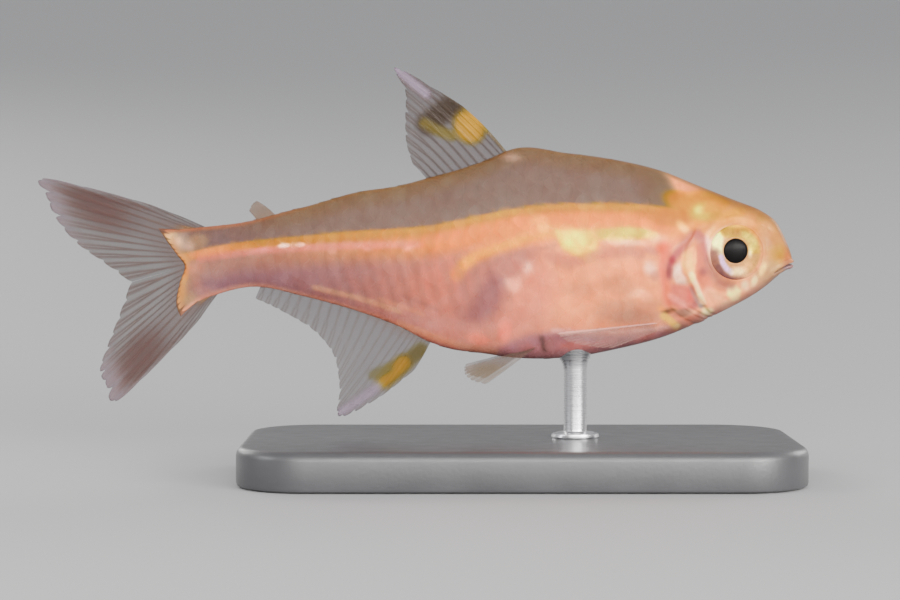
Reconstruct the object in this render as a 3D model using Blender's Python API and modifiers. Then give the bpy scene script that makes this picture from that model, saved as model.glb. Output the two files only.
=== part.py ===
"""A golden pristella tetra at life size, swimming over a plain display stand.

The fish is laid out straight first, in its own measures: back is the distance behind the
snout, side is to the fish's left and up is above its long axis. The function pose then
swings the tail and sets the fish over the stand. Metres, +Z up, head towards +X.
"""
import math

import bmesh
import bpy
import numpy as np
from mathutils import Matrix

MM = 0.001
GAP = 0.27 * MM                    # what touching solids keep between them

# The fish as a whole
STANDARD_LENGTH = 34.2 * MM        # snout to the root of the tail fin
TAIL_AXIS_UP = 0.3 * MM            # the middle of the tail, above the long axis
NECK_START, NECK_END = 3.4 * MM, 9.2 * MM   # what head and trunk both cover before the cut
TAIL_START = 20.05 * MM            # where the tail begins, behind the vent
TAIL_LEAN = 0.62 * MM              # how far that cut slants back above and forward below

# The swing of the tail: start, end and angle of each arc
DROOP = (27.5 * MM, 34.2 * MM, math.radians(-15.0))
SWEEP = (19.0 * MM, 36.0 * MM, math.radians(11.0))

# Body profile, as stations in millimetres:
# back, top, bottom, level of greatest width, half width, sharpness of the section
PROFILE = np.array((
    (0.00, -0.20, -0.20, -0.20, 0.00, 0.80),
    (0.40, 1.00, -0.60, 0.05, 0.58, 0.80),
    (0.90, 1.93, -1.12, 0.15, 0.98, 0.84),
    (1.70, 2.55, -1.78, 0.20, 1.34, 0.88),
    (3.35, 3.22, -2.76, 0.25, 1.76, 0.92),
    (5.50, 4.08, -3.78, 0.35, 2.12, 0.95),
    (7.30, 4.80, -4.50, 0.45, 2.32, 0.98),
    (9.60, 5.37, -5.10, 0.55, 2.40, 0.98),
    (12.6, 5.80, -5.62, 0.55, 2.32, 0.98),
    (15.6, 6.03, -5.62, 0.50, 2.12, 1.02),
    (17.3, 5.32, -5.38, 0.45, 1.96, 1.06),
    (19.3, 4.68, -5.08, 0.42, 1.74, 1.10),
    (20.3, 4.42, -4.72, 0.40, 1.62, 1.12),
    (21.9, 3.99, -3.90, 0.38, 1.44, 1.14),
    (24.3, 3.62, -3.02, 0.35, 1.24, 1.16),
    (27.5, 2.74, -2.16, 0.30, 0.98, 1.16),
    (30.7, 2.12, -1.52, 0.30, 0.74, 1.08),
    (32.4, 2.20, -1.62, 0.30, 0.62, 1.00),
    (34.2, 2.48, -1.88, 0.30, 0.46, 0.95),
)) * (MM, MM, MM, MM, MM, 1)

# The eye
EYE_BACK, EYE_UP = 3.30 * MM, 0.30 * MM
EYE_RADIUS = 1.52 * MM
EYE_DEPTH = 0.80 * MM              # half its thickness from side to side
EYE_SIDE = 1.22 * MM               # its centre, from the middle of the head
ORBIT_RIM = 0.10 * MM
CHEEK_ARC = 2.45 * MM              # the ridge round the cheek, from the eye's centre
CHEEK_PROUD = 0.10 * MM

# Where the head ends, from the nape round the gill cover to the throat: back, up in mm
GILL_LINE = np.array((
    (7.05, 9.00), (7.05, 4.30), (6.72, 2.90), (6.12, 1.75), (6.30, 1.15), (6.85, 0.60),
    (7.12, -0.20), (7.20, -1.20), (7.10, -2.20), (6.66, -2.95), (5.90, -3.45),
    (5.05, -3.85), (4.45, -4.30), (4.20, -9.00),
)) * MM
GILL_TOP = 1.3 * MM                # above this the head lies flush with the trunk
GILL_PROUD = 0.16 * MM

# Mouth and nostrils, as (back, up) and, for a nostril, its radius
MOUTH_FRONT = (-0.40 * MM, -0.16 * MM)
MOUTH_CORNER = (1.12 * MM, -0.80 * MM)
MOUTH_OPEN = 0.17 * MM
MOUTH_DEPTH = 0.34 * MM
LIP_PROUD = 0.10 * MM
LIP_WIDTH = 0.22 * MM
NOSTRILS = ((1.42 * MM, 1.52 * MM, 0.17 * MM), (1.86 * MM, 1.68 * MM, 0.21 * MM))
NOSTRIL_DEPTH = 0.3 * MM

# Fins: thickness of the membrane at root and tip, and how much a ray adds
MEMBRANE_ROOT, MEMBRANE_TIP, RAY_RIDGE = 0.52 * MM, 0.34 * MM, 0.15 * MM
ROOT_LIFT = 0.42 * MM              # paired fins: body to the middle of the root
NOTCH = 0.025                      # how far the margin dips between two rays

# How finely the body is drawn: rings along it, points round each ring
HEAD_MESH, TRUNK_MESH, TAIL_MESH, JAW_MESH = (36, 44), (26, 36), (20, 28), (12, 24)
FIRST_RING = 0.02 * MM             # the ring next to the snout's tip
EYE_MESH = (24, 12)

# The stand
BASE_LENGTH, BASE_WIDTH, BASE_HEIGHT = 31.0 * MM, 17.0 * MM, 2.2 * MM
BASE_CORNER = 4.0 * MM
BASE_BEVEL = 0.5 * MM
BASE_CLEARANCE = 1.1 * MM          # base to the lowest fin tip
ROD_RADIUS = 0.65 * MM
ROD_BACK = 12.1 * MM               # where the rod meets the belly
LOWEST_FIN = 9.0 * MM              # the tip of the anal fin, below the long axis

SNOUT_X = 15.2 * MM                # puts the middle of the base on the origin
AXIS_Z = BASE_HEIGHT + BASE_CLEARANCE + LOWEST_FIN


def clear_scene():
    for thing in list(bpy.data.objects):
        bpy.data.objects.remove(thing, do_unlink=True)


def smooth_through(places, values, at):
    """A smooth curve through values at places, read at the points at (Catmull-Rom)."""
    slopes = np.gradient(values, places)
    at = np.clip(at, places[0], places[-1])
    i = np.clip(np.searchsorted(places, at) - 1, 0, len(places) - 2)
    width = places[i + 1] - places[i]
    t = (at - places[i]) / width
    rise = values[i + 1] - values[i]
    bend_in = slopes[i] * width - rise
    bend_out = rise - slopes[i + 1] * width
    return values[i] + t * rise + t * (1 - t) * ((1 - t) * bend_in + t * bend_out)


def profile(column, back):
    """One column of PROFILE at a distance behind the snout.

    The table is read against the root of the distance, so that the snout closes round.
    """
    places = np.sqrt(PROFILE[:, 0])
    return smooth_through(places, PROFILE[:, column], np.sqrt(np.maximum(back, 0)))


def top(back):
    return profile(1, back)


def bottom(back):
    return profile(2, back)


def swing(along, across, start, end, angle):
    """Carries a point across a straight line onto the same line bent round an arc."""
    sign, size = math.copysign(1, angle), abs(angle)
    radius = (end - start) / size
    turn = np.clip((along - start) / radius, 0, size)
    past = np.maximum(along - end, 0)
    line_along = np.minimum(along, start) + radius * np.sin(turn) + past * math.cos(size)
    line_across = sign * (radius * (1 - np.cos(turn)) + past * math.sin(size))
    return line_along - sign * across * np.sin(turn), line_across + across * np.cos(turn)


def pose(points):
    """Fish measures (back, side, up) to world places, with the tail swung."""
    back, side, up = np.moveaxis(np.asarray(points, float), -1, 0)
    back, up = swing(back, up - TAIL_AXIS_UP, *DROOP)
    back, side = swing(back, side, *SWEEP)
    return np.stack([SNOUT_X - back, side, AXIS_Z + TAIL_AXIS_UP + up], axis=-1)


def section(back, angle, grow=0.0):
    """Points of the body's surface: angle 0 is its left side, a quarter turn its back."""
    level, half_width, sharp = profile(3, back), profile(4, back), profile(5, back)
    reach = np.where(np.sin(angle) > 0, top(back) - level, level - bottom(back)) + grow
    side = (half_width + grow) * np.sign(np.cos(angle)) * np.abs(np.cos(angle)) ** sharp
    return np.stack([back, side, level + reach * np.sin(angle)], axis=-1)


def body_rings(backs, around, grow=0.0, lean=0.0):
    """Cross-sections of the body, each leaning back above by its own share of lean."""
    angle = np.linspace(0, 2 * math.pi, around, endpoint=False)
    back = backs[:, None] + np.broadcast_to(lean, backs.shape)[:, None] * np.sin(angle)
    return section(back, np.broadcast_to(angle, back.shape), grow)


def bump(distance, width):
    """A smooth hill, 1 at no distance and gone past width."""
    return np.clip(1 - (distance / width) ** 2, 0, 1) ** 2


def line_distance(back, up, line):
    """How far points are from a line of (back, up) points, as seen from the side."""
    nearest = np.full(np.shape(back), np.inf)
    for start, end in zip(line[:-1], line[1:]):
        run = end - start
        share = ((back - start[0]) * run[0] + (up - start[1]) * run[1]) / (run @ run)
        share = np.clip(share, 0, 1)
        away = np.hypot(back - start[0] - share * run[0], up - start[1] - share * run[1])
        nearest = np.minimum(nearest, away)
    return nearest


def gill_curve(grow):
    """GILL_LINE made smooth and moved back by grow, square to itself."""
    keys = np.arange(len(GILL_LINE), dtype=float)
    at = np.linspace(0, len(GILL_LINE) - 1, 34)
    line = np.stack([smooth_through(keys, GILL_LINE[:, i], at) for i in (0, 1)], axis=-1)
    run = np.gradient(line, axis=0)
    run /= np.linalg.norm(run, axis=-1, keepdims=True)
    return line + grow * np.stack([-run[:, 1], run[:, 0]], axis=-1)


def head_relief(rings):
    """Raises the gill cover, the rim of the eye, the cheek and the lips."""
    back, side, up = np.moveaxis(rings, -1, 0)
    facing = np.abs(side) / np.maximum(profile(4, back), 0.1 * MM)
    cover = GILL_PROUD * bump(line_distance(back, up, gill_curve(0)[9:-3]), 1.9 * MM)
    cover = cover * np.clip((GILL_TOP - up) / (0.5 * MM), 0, 1)
    from_eye = np.hypot(back - EYE_BACK, up - EYE_UP)
    rim = ORBIT_RIM * bump(from_eye - EYE_RADIUS - GAP, 0.65 * MM)
    cheek = CHEEK_PROUD * bump(from_eye - CHEEK_ARC, 0.8 * MM) * (back > EYE_BACK) * (up < 0)
    lips = line_distance(back, up, np.array((MOUTH_FRONT, MOUTH_CORNER)))
    jaw = LIP_PROUD * bump(lips - 0.6 * LIP_WIDTH, LIP_WIDTH)
    out = (cover + rim + cheek) * np.minimum(facing, 1) + jaw
    along_back = np.gradient(rings, axis=0)
    along_ring = np.roll(rings, -1, axis=1) - np.roll(rings, 1, axis=1)
    normal = np.cross(along_ring, along_back)
    normal /= np.maximum(np.linalg.norm(normal, axis=-1, keepdims=True), 1e-12)
    outwards = np.sign(np.sum(normal * (rings - rings.mean(axis=1, keepdims=True)), axis=-1))
    return rings + normal * (outwards * out)[..., None]


def to_object(name, shape, material=None):
    """Makes an object of a bmesh, with its faces turned out."""
    bmesh.ops.recalc_face_normals(shape, faces=shape.faces)
    mesh = bpy.data.meshes.new(name)
    shape.to_mesh(mesh)
    shape.free()
    if material:
        mesh.materials.append(material)
    return bpy.data.objects.new(name, mesh)


def from_faces(name, vertices, faces, material=None):
    mesh = bpy.data.meshes.new(name)
    mesh.from_pydata([tuple(v) for v in vertices], [], faces)
    shape = bmesh.new()
    shape.from_mesh(mesh)
    bpy.data.meshes.remove(mesh)
    return to_object(name, shape, material)


def shade_smooth(thing):
    thing.data.polygons.foreach_set("use_smooth", [True] * len(thing.data.polygons))


def loft(name, rings, material=None, tip=None):
    """A closed skin over posed rings, with a point at the front if tip is given."""
    count, around = rings.shape[:2]
    front = tip if tip is not None else rings[0].mean(axis=0)
    ends = pose(np.array([front, rings[-1].mean(axis=0)]))
    vertices = np.vstack([pose(rings).reshape(-1, 3), ends])
    first, last = count * around, count * around + 1
    faces = []
    for j in range(around):
        k = (j + 1) % around
        faces.append((first, k, j))
        for i in range(count - 1):
            a, b = i * around, (i + 1) * around
            faces.append((a + j, a + k, b + k, b + j))
        tail = (count - 1) * around
        faces.append((last, tail + j, tail + k))
    made = from_faces(name, vertices, faces, material)
    shade_smooth(made)
    return made


def link(thing, home):
    home.objects.link(thing)
    return thing


def boolean(target, cutter, operation):
    """A live Boolean modifier. The cutter stays in the scene as a wire helper."""
    step = target.modifiers.new(cutter.name, "BOOLEAN")
    step.operation, step.object, step.solver = operation, cutter, "EXACT"
    cutter.display_type = "WIRE"
    cutter.hide_render = True


def side_plate(name, outline, half_width, home):
    """A plate from an outline of (back, up) points, reaching half_width to each side."""
    shape = bmesh.new()
    corners = straight([(back, -half_width, up) for back, up in outline])
    face = shape.faces.new([shape.verts.new(corner) for corner in corners])
    grown = bmesh.ops.extrude_face_region(shape, geom=[face])
    far = [item for item in grown["geom"] if isinstance(item, bmesh.types.BMVert)]
    bmesh.ops.translate(shape, verts=far, vec=(0, 2 * half_width, 0))
    return link(to_object(name, shape), home)


def straight(points):
    """Fish measures to world places, for what lies ahead of the tail's swing."""
    return [(SNOUT_X - back, side, AXIS_Z + up) for back, side, up in points]


def head_outline(grow):
    """The outline that the head fills, as seen from the side."""
    front = -3 * MM
    line = [tuple(point) for point in gill_curve(grow)]
    return [(front, line[0][1])] + line + [(front, line[-1][1])]


def spheroid(name, centre, radii, segments, rings, home, material=None):
    """A sphere primitive stretched to three radii, with its poles to the sides."""
    shape = bmesh.new()
    bmesh.ops.create_uvsphere(shape, u_segments=segments, v_segments=rings, radius=1)
    poles_sideways = Matrix.Rotation(math.radians(90), 3, "X")
    bmesh.ops.rotate(shape, verts=shape.verts, cent=(0, 0, 0), matrix=poles_sideways)
    bmesh.ops.scale(shape, verts=shape.verts, vec=radii)
    made = link(to_object(name, shape, material), home)
    made.location = straight([centre])[0]
    shade_smooth(made)
    return made


def rounding_backs(end, count):
    """Distances behind the snout, packed closer towards its round tip."""
    return np.linspace(math.sqrt(FIRST_RING), math.sqrt(end), count) ** 2


def make_head(home, cutters, flesh):
    rings = head_relief(body_rings(rounding_backs(NECK_END, HEAD_MESH[0]), HEAD_MESH[1]))
    head = link(loft("head", rings, flesh, tip=(0, 0, PROFILE[0, 1])), home)
    boolean(head, side_plate("gill_opening", head_outline(0), 6 * MM, cutters), "INTERSECT")
    for side in (-1, 1):
        socket = spheroid(
            f"socket_{side}", (EYE_BACK, side * EYE_SIDE, EYE_UP),
            (EYE_RADIUS + GAP, EYE_DEPTH + GAP, EYE_RADIUS + GAP), *EYE_MESH, cutters)
        boolean(head, socket, "DIFFERENCE")
        for number, (back, up, radius) in enumerate(NOSTRILS):
            width = profile(4, np.array(back)) * 0.86
            pit = spheroid(
                f"nostril_{side}_{number}", (back, side * width, up),
                (radius, NOSTRIL_DEPTH, radius), 10, 6, cutters)
            boolean(head, pit, "DIFFERENCE")
    boolean(head, make_mouth_slit(cutters), "DIFFERENCE")
    return head


def make_mouth_slit(cutters):
    """A thin wedge between the lips, with the inside of the jaws kept solid."""
    (front, front_up), (corner, corner_up) = MOUTH_FRONT, MOUTH_CORNER
    slit = side_plate("mouth_slit", [
        (front, front_up + MOUTH_OPEN / 2), (corner, corner_up + 0.02 * MM),
        (corner, corner_up - 0.02 * MM), (front, front_up - MOUTH_OPEN / 2),
    ], 4 * MM, cutters)
    backs = rounding_backs(3 * MOUTH_CORNER[0], JAW_MESH[0])
    rings = body_rings(backs, JAW_MESH[1], grow=-MOUTH_DEPTH * 0.8)
    rings[..., 0] += MOUTH_DEPTH
    jaws = link(loft("inside_of_jaws", rings), cutters)
    boolean(slit, jaws, "DIFFERENCE")
    return slit


def make_trunk(home, cutters, flesh):
    share = np.linspace(0, 1, TRUNK_MESH[0])
    backs = NECK_START + (TAIL_START - GAP - NECK_START) * share
    rings = body_rings(backs, TRUNK_MESH[1], lean=TAIL_LEAN * share)
    trunk = link(loft("trunk", rings, flesh), home)
    boolean(trunk, side_plate("shoulder", head_outline(GAP), 6 * MM, cutters), "DIFFERENCE")
    return trunk


def make_tail(home, flesh):
    share = np.linspace(0, 1, TAIL_MESH[0])
    backs = TAIL_START + (STANDARD_LENGTH - TAIL_START) * share
    rings = body_rings(backs, TAIL_MESH[1], lean=TAIL_LEAN * (1 - share))
    return link(loft("tail", rings, flesh), home)


def make_eyes(home, glassy):
    for name, side in (("right_eye", -1), ("left_eye", 1)):
        spheroid(name, (EYE_BACK, side * EYE_SIDE, EYE_UP),
                 (EYE_RADIUS, EYE_DEPTH, EYE_RADIUS), *EYE_MESH, home, glassy)


def fin_grid(roots, tips, rays, rows, bow):
    """Points of a fin's middle surface: rows from root to margin, columns across the rays.

    roots and tips are the ends of a few key rays. Every ray has a column for its crest and
    one for the membrane beside it, and bow is how far a ray bulges, as a share of its length.
    """
    keys = np.linspace(0, 1, len(roots))
    columns = 2 * rays + 1
    share = np.linspace(0, 1, columns)
    root = np.stack([smooth_through(keys, roots[:, i], share) for i in range(3)], axis=-1)
    tip = np.stack([smooth_through(keys, tips[:, i], share) for i in range(3)], axis=-1)
    crest = np.arange(columns) % 2 == 1
    tip = root + (tip - root) * np.where(crest, 1, 1 - NOTCH)[:, None]
    out = np.linspace(0, 1, rows)[:, None, None]
    grid = root + (tip - root) * out
    grid += np.asarray(bow) * np.linalg.norm(tip - root, axis=-1)[:, None] * np.sin(math.pi * out)
    return grid, crest


def blade(name, grid, crest, home, material):
    """A closed fin: the grid's two faces, with its rays as ridges, and a rim round them."""
    rows, columns = grid.shape[:2]
    places = pose(grid)
    normal = np.cross(np.gradient(places, axis=1), np.gradient(places, axis=0))
    normal /= np.linalg.norm(normal, axis=-1, keepdims=True)
    out = np.linspace(0, 1, rows)[:, None]
    half = (MEMBRANE_ROOT + (MEMBRANE_TIP - MEMBRANE_ROOT) * out) / 2
    half = half + np.where(crest, RAY_RIDGE / 2, 0)[None, :] * (1 - 0.5 * out)
    faces = []
    total = rows * columns
    for i in range(rows - 1):
        for j in range(columns - 1):
            a, b = i * columns + j, (i + 1) * columns + j
            for face in ((a, a + 1, b + 1), (a, b + 1, b)):
                faces.append(face)
                faces.append(tuple(total + v for v in reversed(face)))
    rim = [i * columns for i in range(rows)]
    rim += [(rows - 1) * columns + j for j in range(1, columns)]
    rim += [i * columns + columns - 1 for i in range(rows - 2, -1, -1)]
    rim += list(range(columns - 2, 0, -1))
    for here, there in zip(rim, rim[1:] + rim[:1]):
        faces.append((here, there, total + there))
        faces.append((here, total + there, total + here))
    shift = normal * half[..., None]
    vertices = np.vstack([(places + shift).reshape(-1, 3), (places - shift).reshape(-1, 3)])
    return link(from_faces(name, vertices, faces, material), home)


def in_midline(keys, edge, lift):
    """Ends of the key rays of a fin on the midline, rooted a gap off the body's edge."""
    keys = np.array(keys) * MM
    still = np.zeros(len(keys))
    roots = np.stack([keys[:, 0], still, edge(keys[:, 0]) + lift], axis=-1)
    return roots, np.stack([keys[:, 1], still, keys[:, 2]], axis=-1)


# Key rays of the fins on the midline: root back, tip back, tip up, in mm
DORSAL_RAYS = (
    (15.75, 18.50, 8.50),
    (16.30, 22.07, 10.55),
    (17.30, 21.60, 9.25),
    (18.30, 21.60, 7.85),
    (19.25, 21.55, 6.45),
    (20.20, 21.20, 5.20),
)
ANAL_RAYS = (
    (20.05, 21.10, -6.35),
    (20.60, 23.20, -7.95),
    (21.40, 25.31, -8.94),
    (22.90, 25.30, -7.30),
    (24.60, 25.65, -5.45),
    (26.30, 26.90, -4.00),
    (28.10, 28.85, -2.95),
    (29.80, 30.35, -2.20),
)
ADIPOSE_RAYS = (
    (28.60, 29.70, 3.25),
    (29.10, 29.95, 3.08),
    (29.65, 30.15, 2.72),
)
# Key rays of the tail fin, from the middle of the tail's end: root back, up, tip back, up
UPPER_TAIL_RAYS = (
    (-1.30, 2.22, -0.25, 2.98),
    (-0.75, 2.38, 1.75, 4.33),
    (-0.15, 2.52, 6.70, 6.96),
    (0.25, 2.00, 6.84, 5.90),
    (0.27, 1.40, 6.60, 4.50),
    (0.27, 0.95, 5.80, 2.90),
    (0.27, 0.55, 4.60, 1.60),
    (0.27, 0.16, 3.45, 0.25),
)
LOWER_TAIL_RAYS = (
    (-1.30, -2.20, -0.15, -3.02),
    (-0.75, -2.36, 1.85, -4.25),
    (-0.15, -2.50, 5.85, -6.34),
    (0.25, -2.00, 6.25, -5.30),
    (0.27, -1.40, 6.38, -4.40),
    (0.27, -0.95, 5.60, -3.20),
    (0.27, -0.55, 4.50, -1.85),
    (0.27, -0.16, 3.45, -0.35),
)
# Key rays of the paired fins: root back and angle round the body, tip back, side, up
PECTORAL_RAYS = (
    (6.95, -50, 13.30, 2.75, -4.35),
    (7.15, -55, 12.70, 2.45, -4.75),
    (7.32, -60, 11.40, 2.10, -5.00),
    (7.45, -65, 10.10, 1.85, -5.05),
)
PELVIC_RAYS = (
    (14.20, -62, 17.10, 2.30, -6.95),
    (14.60, -66, 17.90, 1.90, -6.75),
    (15.00, -70, 18.30, 1.45, -6.40),
    (15.40, -74, 18.20, 1.10, -6.05),
)


def make_midline_fins(home, colours):
    for name, keys, edge, lift, rays, rows, bow in (
        ("dorsal_fin", DORSAL_RAYS, top, GAP, 11, 9, 0.04),
        ("adipose_fin", ADIPOSE_RAYS, top, GAP, 2, 4, 0.05),
        ("anal_fin", ANAL_RAYS, bottom, -GAP, 22, 7, -0.03),
    ):
        roots, tips = in_midline(keys, edge, lift)
        grid, crest = fin_grid(roots, tips, rays, rows, (0, 0, bow))
        blade(name, grid, crest, home, colours[name])


def make_tail_fin(home, colours):
    for name, keys in (
        ("caudal_fin_upper", UPPER_TAIL_RAYS),
        ("caudal_fin_lower", LOWER_TAIL_RAYS),
    ):
        keys = np.array(keys) * MM
        still = np.zeros(len(keys))
        start = np.array((STANDARD_LENGTH, 0, TAIL_AXIS_UP))
        roots = start + np.stack([keys[:, 0], still, keys[:, 1]], axis=-1)
        tips = start + np.stack([keys[:, 2], still, keys[:, 3]], axis=-1)
        grid, crest = fin_grid(roots, tips, 12, 9, (0, 0, 0))
        blade(name, grid, crest, home, colours["caudal_fin"])


def make_paired_fins(home, colours):
    for kind, keys, rays, rows in (
        ("pectoral_fin", PECTORAL_RAYS, 10, 8),
        ("pelvic_fin", PELVIC_RAYS, 7, 7),
    ):
        for hand, side in (("right", -1), ("left", 1)):
            root_back, degrees, *tip = np.array(keys).T
            roots = section(root_back * MM, np.radians(degrees), grow=ROOT_LIFT)
            tips = np.stack(tip, axis=-1) * MM
            flip = (1, side, 1)
            grid, crest = fin_grid(roots * flip, tips * flip, rays, rows, (0, 0.03 * side, 0))
            blade(f"{hand}_{kind}", grid, crest, home, colours[kind])


def make_base(home, material):
    """A flat plinth with round corners and an eased edge."""
    shape = bmesh.new()
    bmesh.ops.create_cube(shape, size=1)
    bmesh.ops.scale(shape, verts=shape.verts, vec=(BASE_LENGTH, BASE_WIDTH, BASE_HEIGHT))
    upright = [edge for edge in shape.edges if edge.verts[0].co.xy == edge.verts[1].co.xy]
    bmesh.ops.bevel(
        shape, geom=upright, offset=BASE_CORNER, segments=6, profile=0.5, affect="EDGES")
    base = link(to_object("stand_base", shape, material), home)
    base.location.z = BASE_HEIGHT / 2
    ease = base.modifiers.new("eased_edge", "BEVEL")
    ease.width, ease.segments, ease.limit_method = BASE_BEVEL, 2, "ANGLE"
    ease.angle_limit = math.radians(60)


def make_rod(home, cutters, material):
    """A round rod from the base to the belly, its top hollowed to the belly's curve."""
    belly = AXIS_Z + float(bottom(np.array(ROD_BACK)))
    foot, head = BASE_HEIGHT + GAP, belly + 1.2 * MM
    shape = bmesh.new()
    bmesh.ops.create_cone(
        shape, cap_ends=True, segments=20, radius1=ROD_RADIUS, radius2=ROD_RADIUS,
        depth=head - foot)
    rod = link(to_object("stand_rod", shape, material), home)
    rod.location = (SNOUT_X - ROD_BACK, 0, (foot + head) / 2)
    backs = np.linspace(ROD_BACK - 3 * MM, ROD_BACK + 3 * MM, 9)
    belly_form = link(loft("belly_form", body_rings(backs, 40, grow=GAP)), cutters)
    boolean(rod, belly_form, "DIFFERENCE")


def make_material(name, colour, roughness, metallic=0.0, alpha=1.0):
    made = bpy.data.materials.new(name)
    made.use_nodes = True
    shader = made.node_tree.nodes["Principled BSDF"]
    shader.inputs["Base Color"].default_value = (*colour, 1)
    shader.inputs["Roughness"].default_value = roughness
    shader.inputs["Metallic"].default_value = metallic
    shader.inputs["Alpha"].default_value = alpha
    return made


def main():
    clear_scene()
    fish = bpy.data.collections.new("golden_pristella_tetra")
    cutters = bpy.data.collections.new("cutters")
    bpy.context.scene.collection.children.link(fish)
    bpy.context.scene.collection.children.link(cutters)
    flesh = make_material("golden_skin", (0.80, 0.50, 0.36), 0.35)
    eye = make_material("eye", (0.85, 0.78, 0.50), 0.12)
    clear_fin = (0.62, 0.56, 0.56)
    colours = {
        "dorsal_fin": make_material("dorsal_fin", (0.80, 0.68, 0.30), 0.3, alpha=0.7),
        "anal_fin": make_material("anal_fin", (0.78, 0.64, 0.34), 0.3, alpha=0.7),
        "adipose_fin": make_material("adipose_fin", clear_fin, 0.3, alpha=0.6),
        "caudal_fin": make_material("caudal_fin", (0.66, 0.48, 0.46), 0.3, alpha=0.6),
        "pectoral_fin": make_material("pectoral_fin", clear_fin, 0.3, alpha=0.5),
        "pelvic_fin": make_material("pelvic_fin", (0.66, 0.55, 0.48), 0.3, alpha=0.6),
    }
    make_head(fish, cutters, flesh)
    make_trunk(fish, cutters, flesh)
    make_tail(fish, flesh)
    make_eyes(fish, eye)
    make_midline_fins(fish, colours)
    make_tail_fin(fish, colours)
    make_paired_fins(fish, colours)
    make_base(fish, make_material("stand_base", (0.05, 0.05, 0.055), 0.4))
    make_rod(fish, cutters, make_material("stand_rod", (0.62, 0.62, 0.64), 0.3, metallic=1.0))


main()
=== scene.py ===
# %% [markdown]
# # A golden pristella tetra at life size, held over a plain display stand
#
# This lesson dresses a solid model of a small fish. The solids come in as a fixed frame: they
# carry the true size, the pose and the stand. Every surface made here is worked out with numpy,
# as a grid of points from a formula, and laid over that frame in place of the plain solids.
#
# The fish swims with its head towards +X and its right side towards the camera, at -Y.

# %% Load the frame
import math

import bpy
import numpy as np
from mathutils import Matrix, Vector


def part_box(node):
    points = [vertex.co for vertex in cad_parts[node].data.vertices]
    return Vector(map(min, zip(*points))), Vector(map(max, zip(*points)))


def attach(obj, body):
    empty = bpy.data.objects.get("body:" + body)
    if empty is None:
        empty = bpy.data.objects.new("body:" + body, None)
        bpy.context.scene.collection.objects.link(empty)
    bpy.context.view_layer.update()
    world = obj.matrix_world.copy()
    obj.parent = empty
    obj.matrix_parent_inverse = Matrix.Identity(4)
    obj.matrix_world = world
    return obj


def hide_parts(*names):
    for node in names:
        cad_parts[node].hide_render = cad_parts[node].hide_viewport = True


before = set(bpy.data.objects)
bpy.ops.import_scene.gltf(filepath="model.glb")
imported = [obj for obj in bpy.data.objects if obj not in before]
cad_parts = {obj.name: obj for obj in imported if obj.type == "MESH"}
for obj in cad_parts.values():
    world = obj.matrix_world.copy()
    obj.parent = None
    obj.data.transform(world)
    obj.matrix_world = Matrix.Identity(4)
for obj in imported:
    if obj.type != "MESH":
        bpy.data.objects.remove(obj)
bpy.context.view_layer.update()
print("solids in the frame:", ", ".join(sorted(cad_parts)))

# %% [markdown]
# ## The fish's own measures
#
# A fish is drawn most easily laid out straight. Three measures are enough: back is the distance
# behind the snout, side is to the fish's left, up is above its long axis, all in millimetres.
# Where the snout and the axis lie in the world follows from one thing that the frame knows well,
# the middle of the right eye.

# %% Snout and axis from the eye
MM = 0.001
EYE_BACK, EYE_UP, EYE_RADIUS = 3.30, 0.30, 1.52

eye_low, eye_high = (np.array(corner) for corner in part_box("right_eye"))
eye_middle = (eye_low + eye_high) / 2
SNOUT_X = eye_middle[0] + EYE_BACK * MM
AXIS_Z = eye_middle[2] - EYE_UP * MM
print(f"snout at x {1000 * SNOUT_X:.2f} mm, long axis at z {1000 * AXIS_Z:.2f} mm")


# %% Smooth curves and soft steps
def smooth_through(places, values, at):
    """A smooth curve through values at places, read at the points at.

    Catmull-Rom: between two places the value goes straight, plus a bend that gives it the
    slope of its neighbours at both ends.
    """
    places, values = np.asarray(places, float), np.asarray(values, float)
    slopes = np.gradient(values, places)
    at = np.clip(at, places[0], places[-1])
    i = np.clip(np.searchsorted(places, at) - 1, 0, len(places) - 2)
    width = places[i + 1] - places[i]
    t = (at - places[i]) / width
    rise = values[i + 1] - values[i]
    bend_in = slopes[i] * width - rise
    bend_out = rise - slopes[i + 1] * width
    return values[i] + t * rise + t * (1 - t) * ((1 - t) * bend_in + t * bend_out)


def soft_step(low, high, x):
    """0 below low, 1 above high, and an S-shaped rise of three t squared less two t cubed."""
    t = np.clip((x - low) / (high - low), 0, 1)
    return t * t * (3 - 2 * t)


def soft_fall(low, high, x):
    """The other way round: 1 below low, 0 above high."""
    return 1 - soft_step(low, high, x)


def hill(distance, width):
    """A smooth hill: 1 at no distance, gone past width, one less the ratio squared, squared."""
    return np.clip(1 - (distance / width) ** 2, 0, 1) ** 2


print("halfway up a soft step:", soft_step(0, 2, 1.0), "and on a hill:", hill(0.5, 1.0))

# %% [markdown]
# ## The body's form
#
# The body is a stack of cross-sections. Each has a top, a bottom, a level where it is widest, a
# half width, and a sharpness: 1 gives an ellipse, more than 1 pinches the back and the belly
# into keels. The table follows that of the solids. It has more stations at the snout, and one
# more behind, because the flesh runs on over the roots of the tail fin. It is read against the
# square root of the distance, so that the snout closes round instead of coming to a point.

# %% Cross-sections of the body
STANDARD_LENGTH = 34.2

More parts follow.
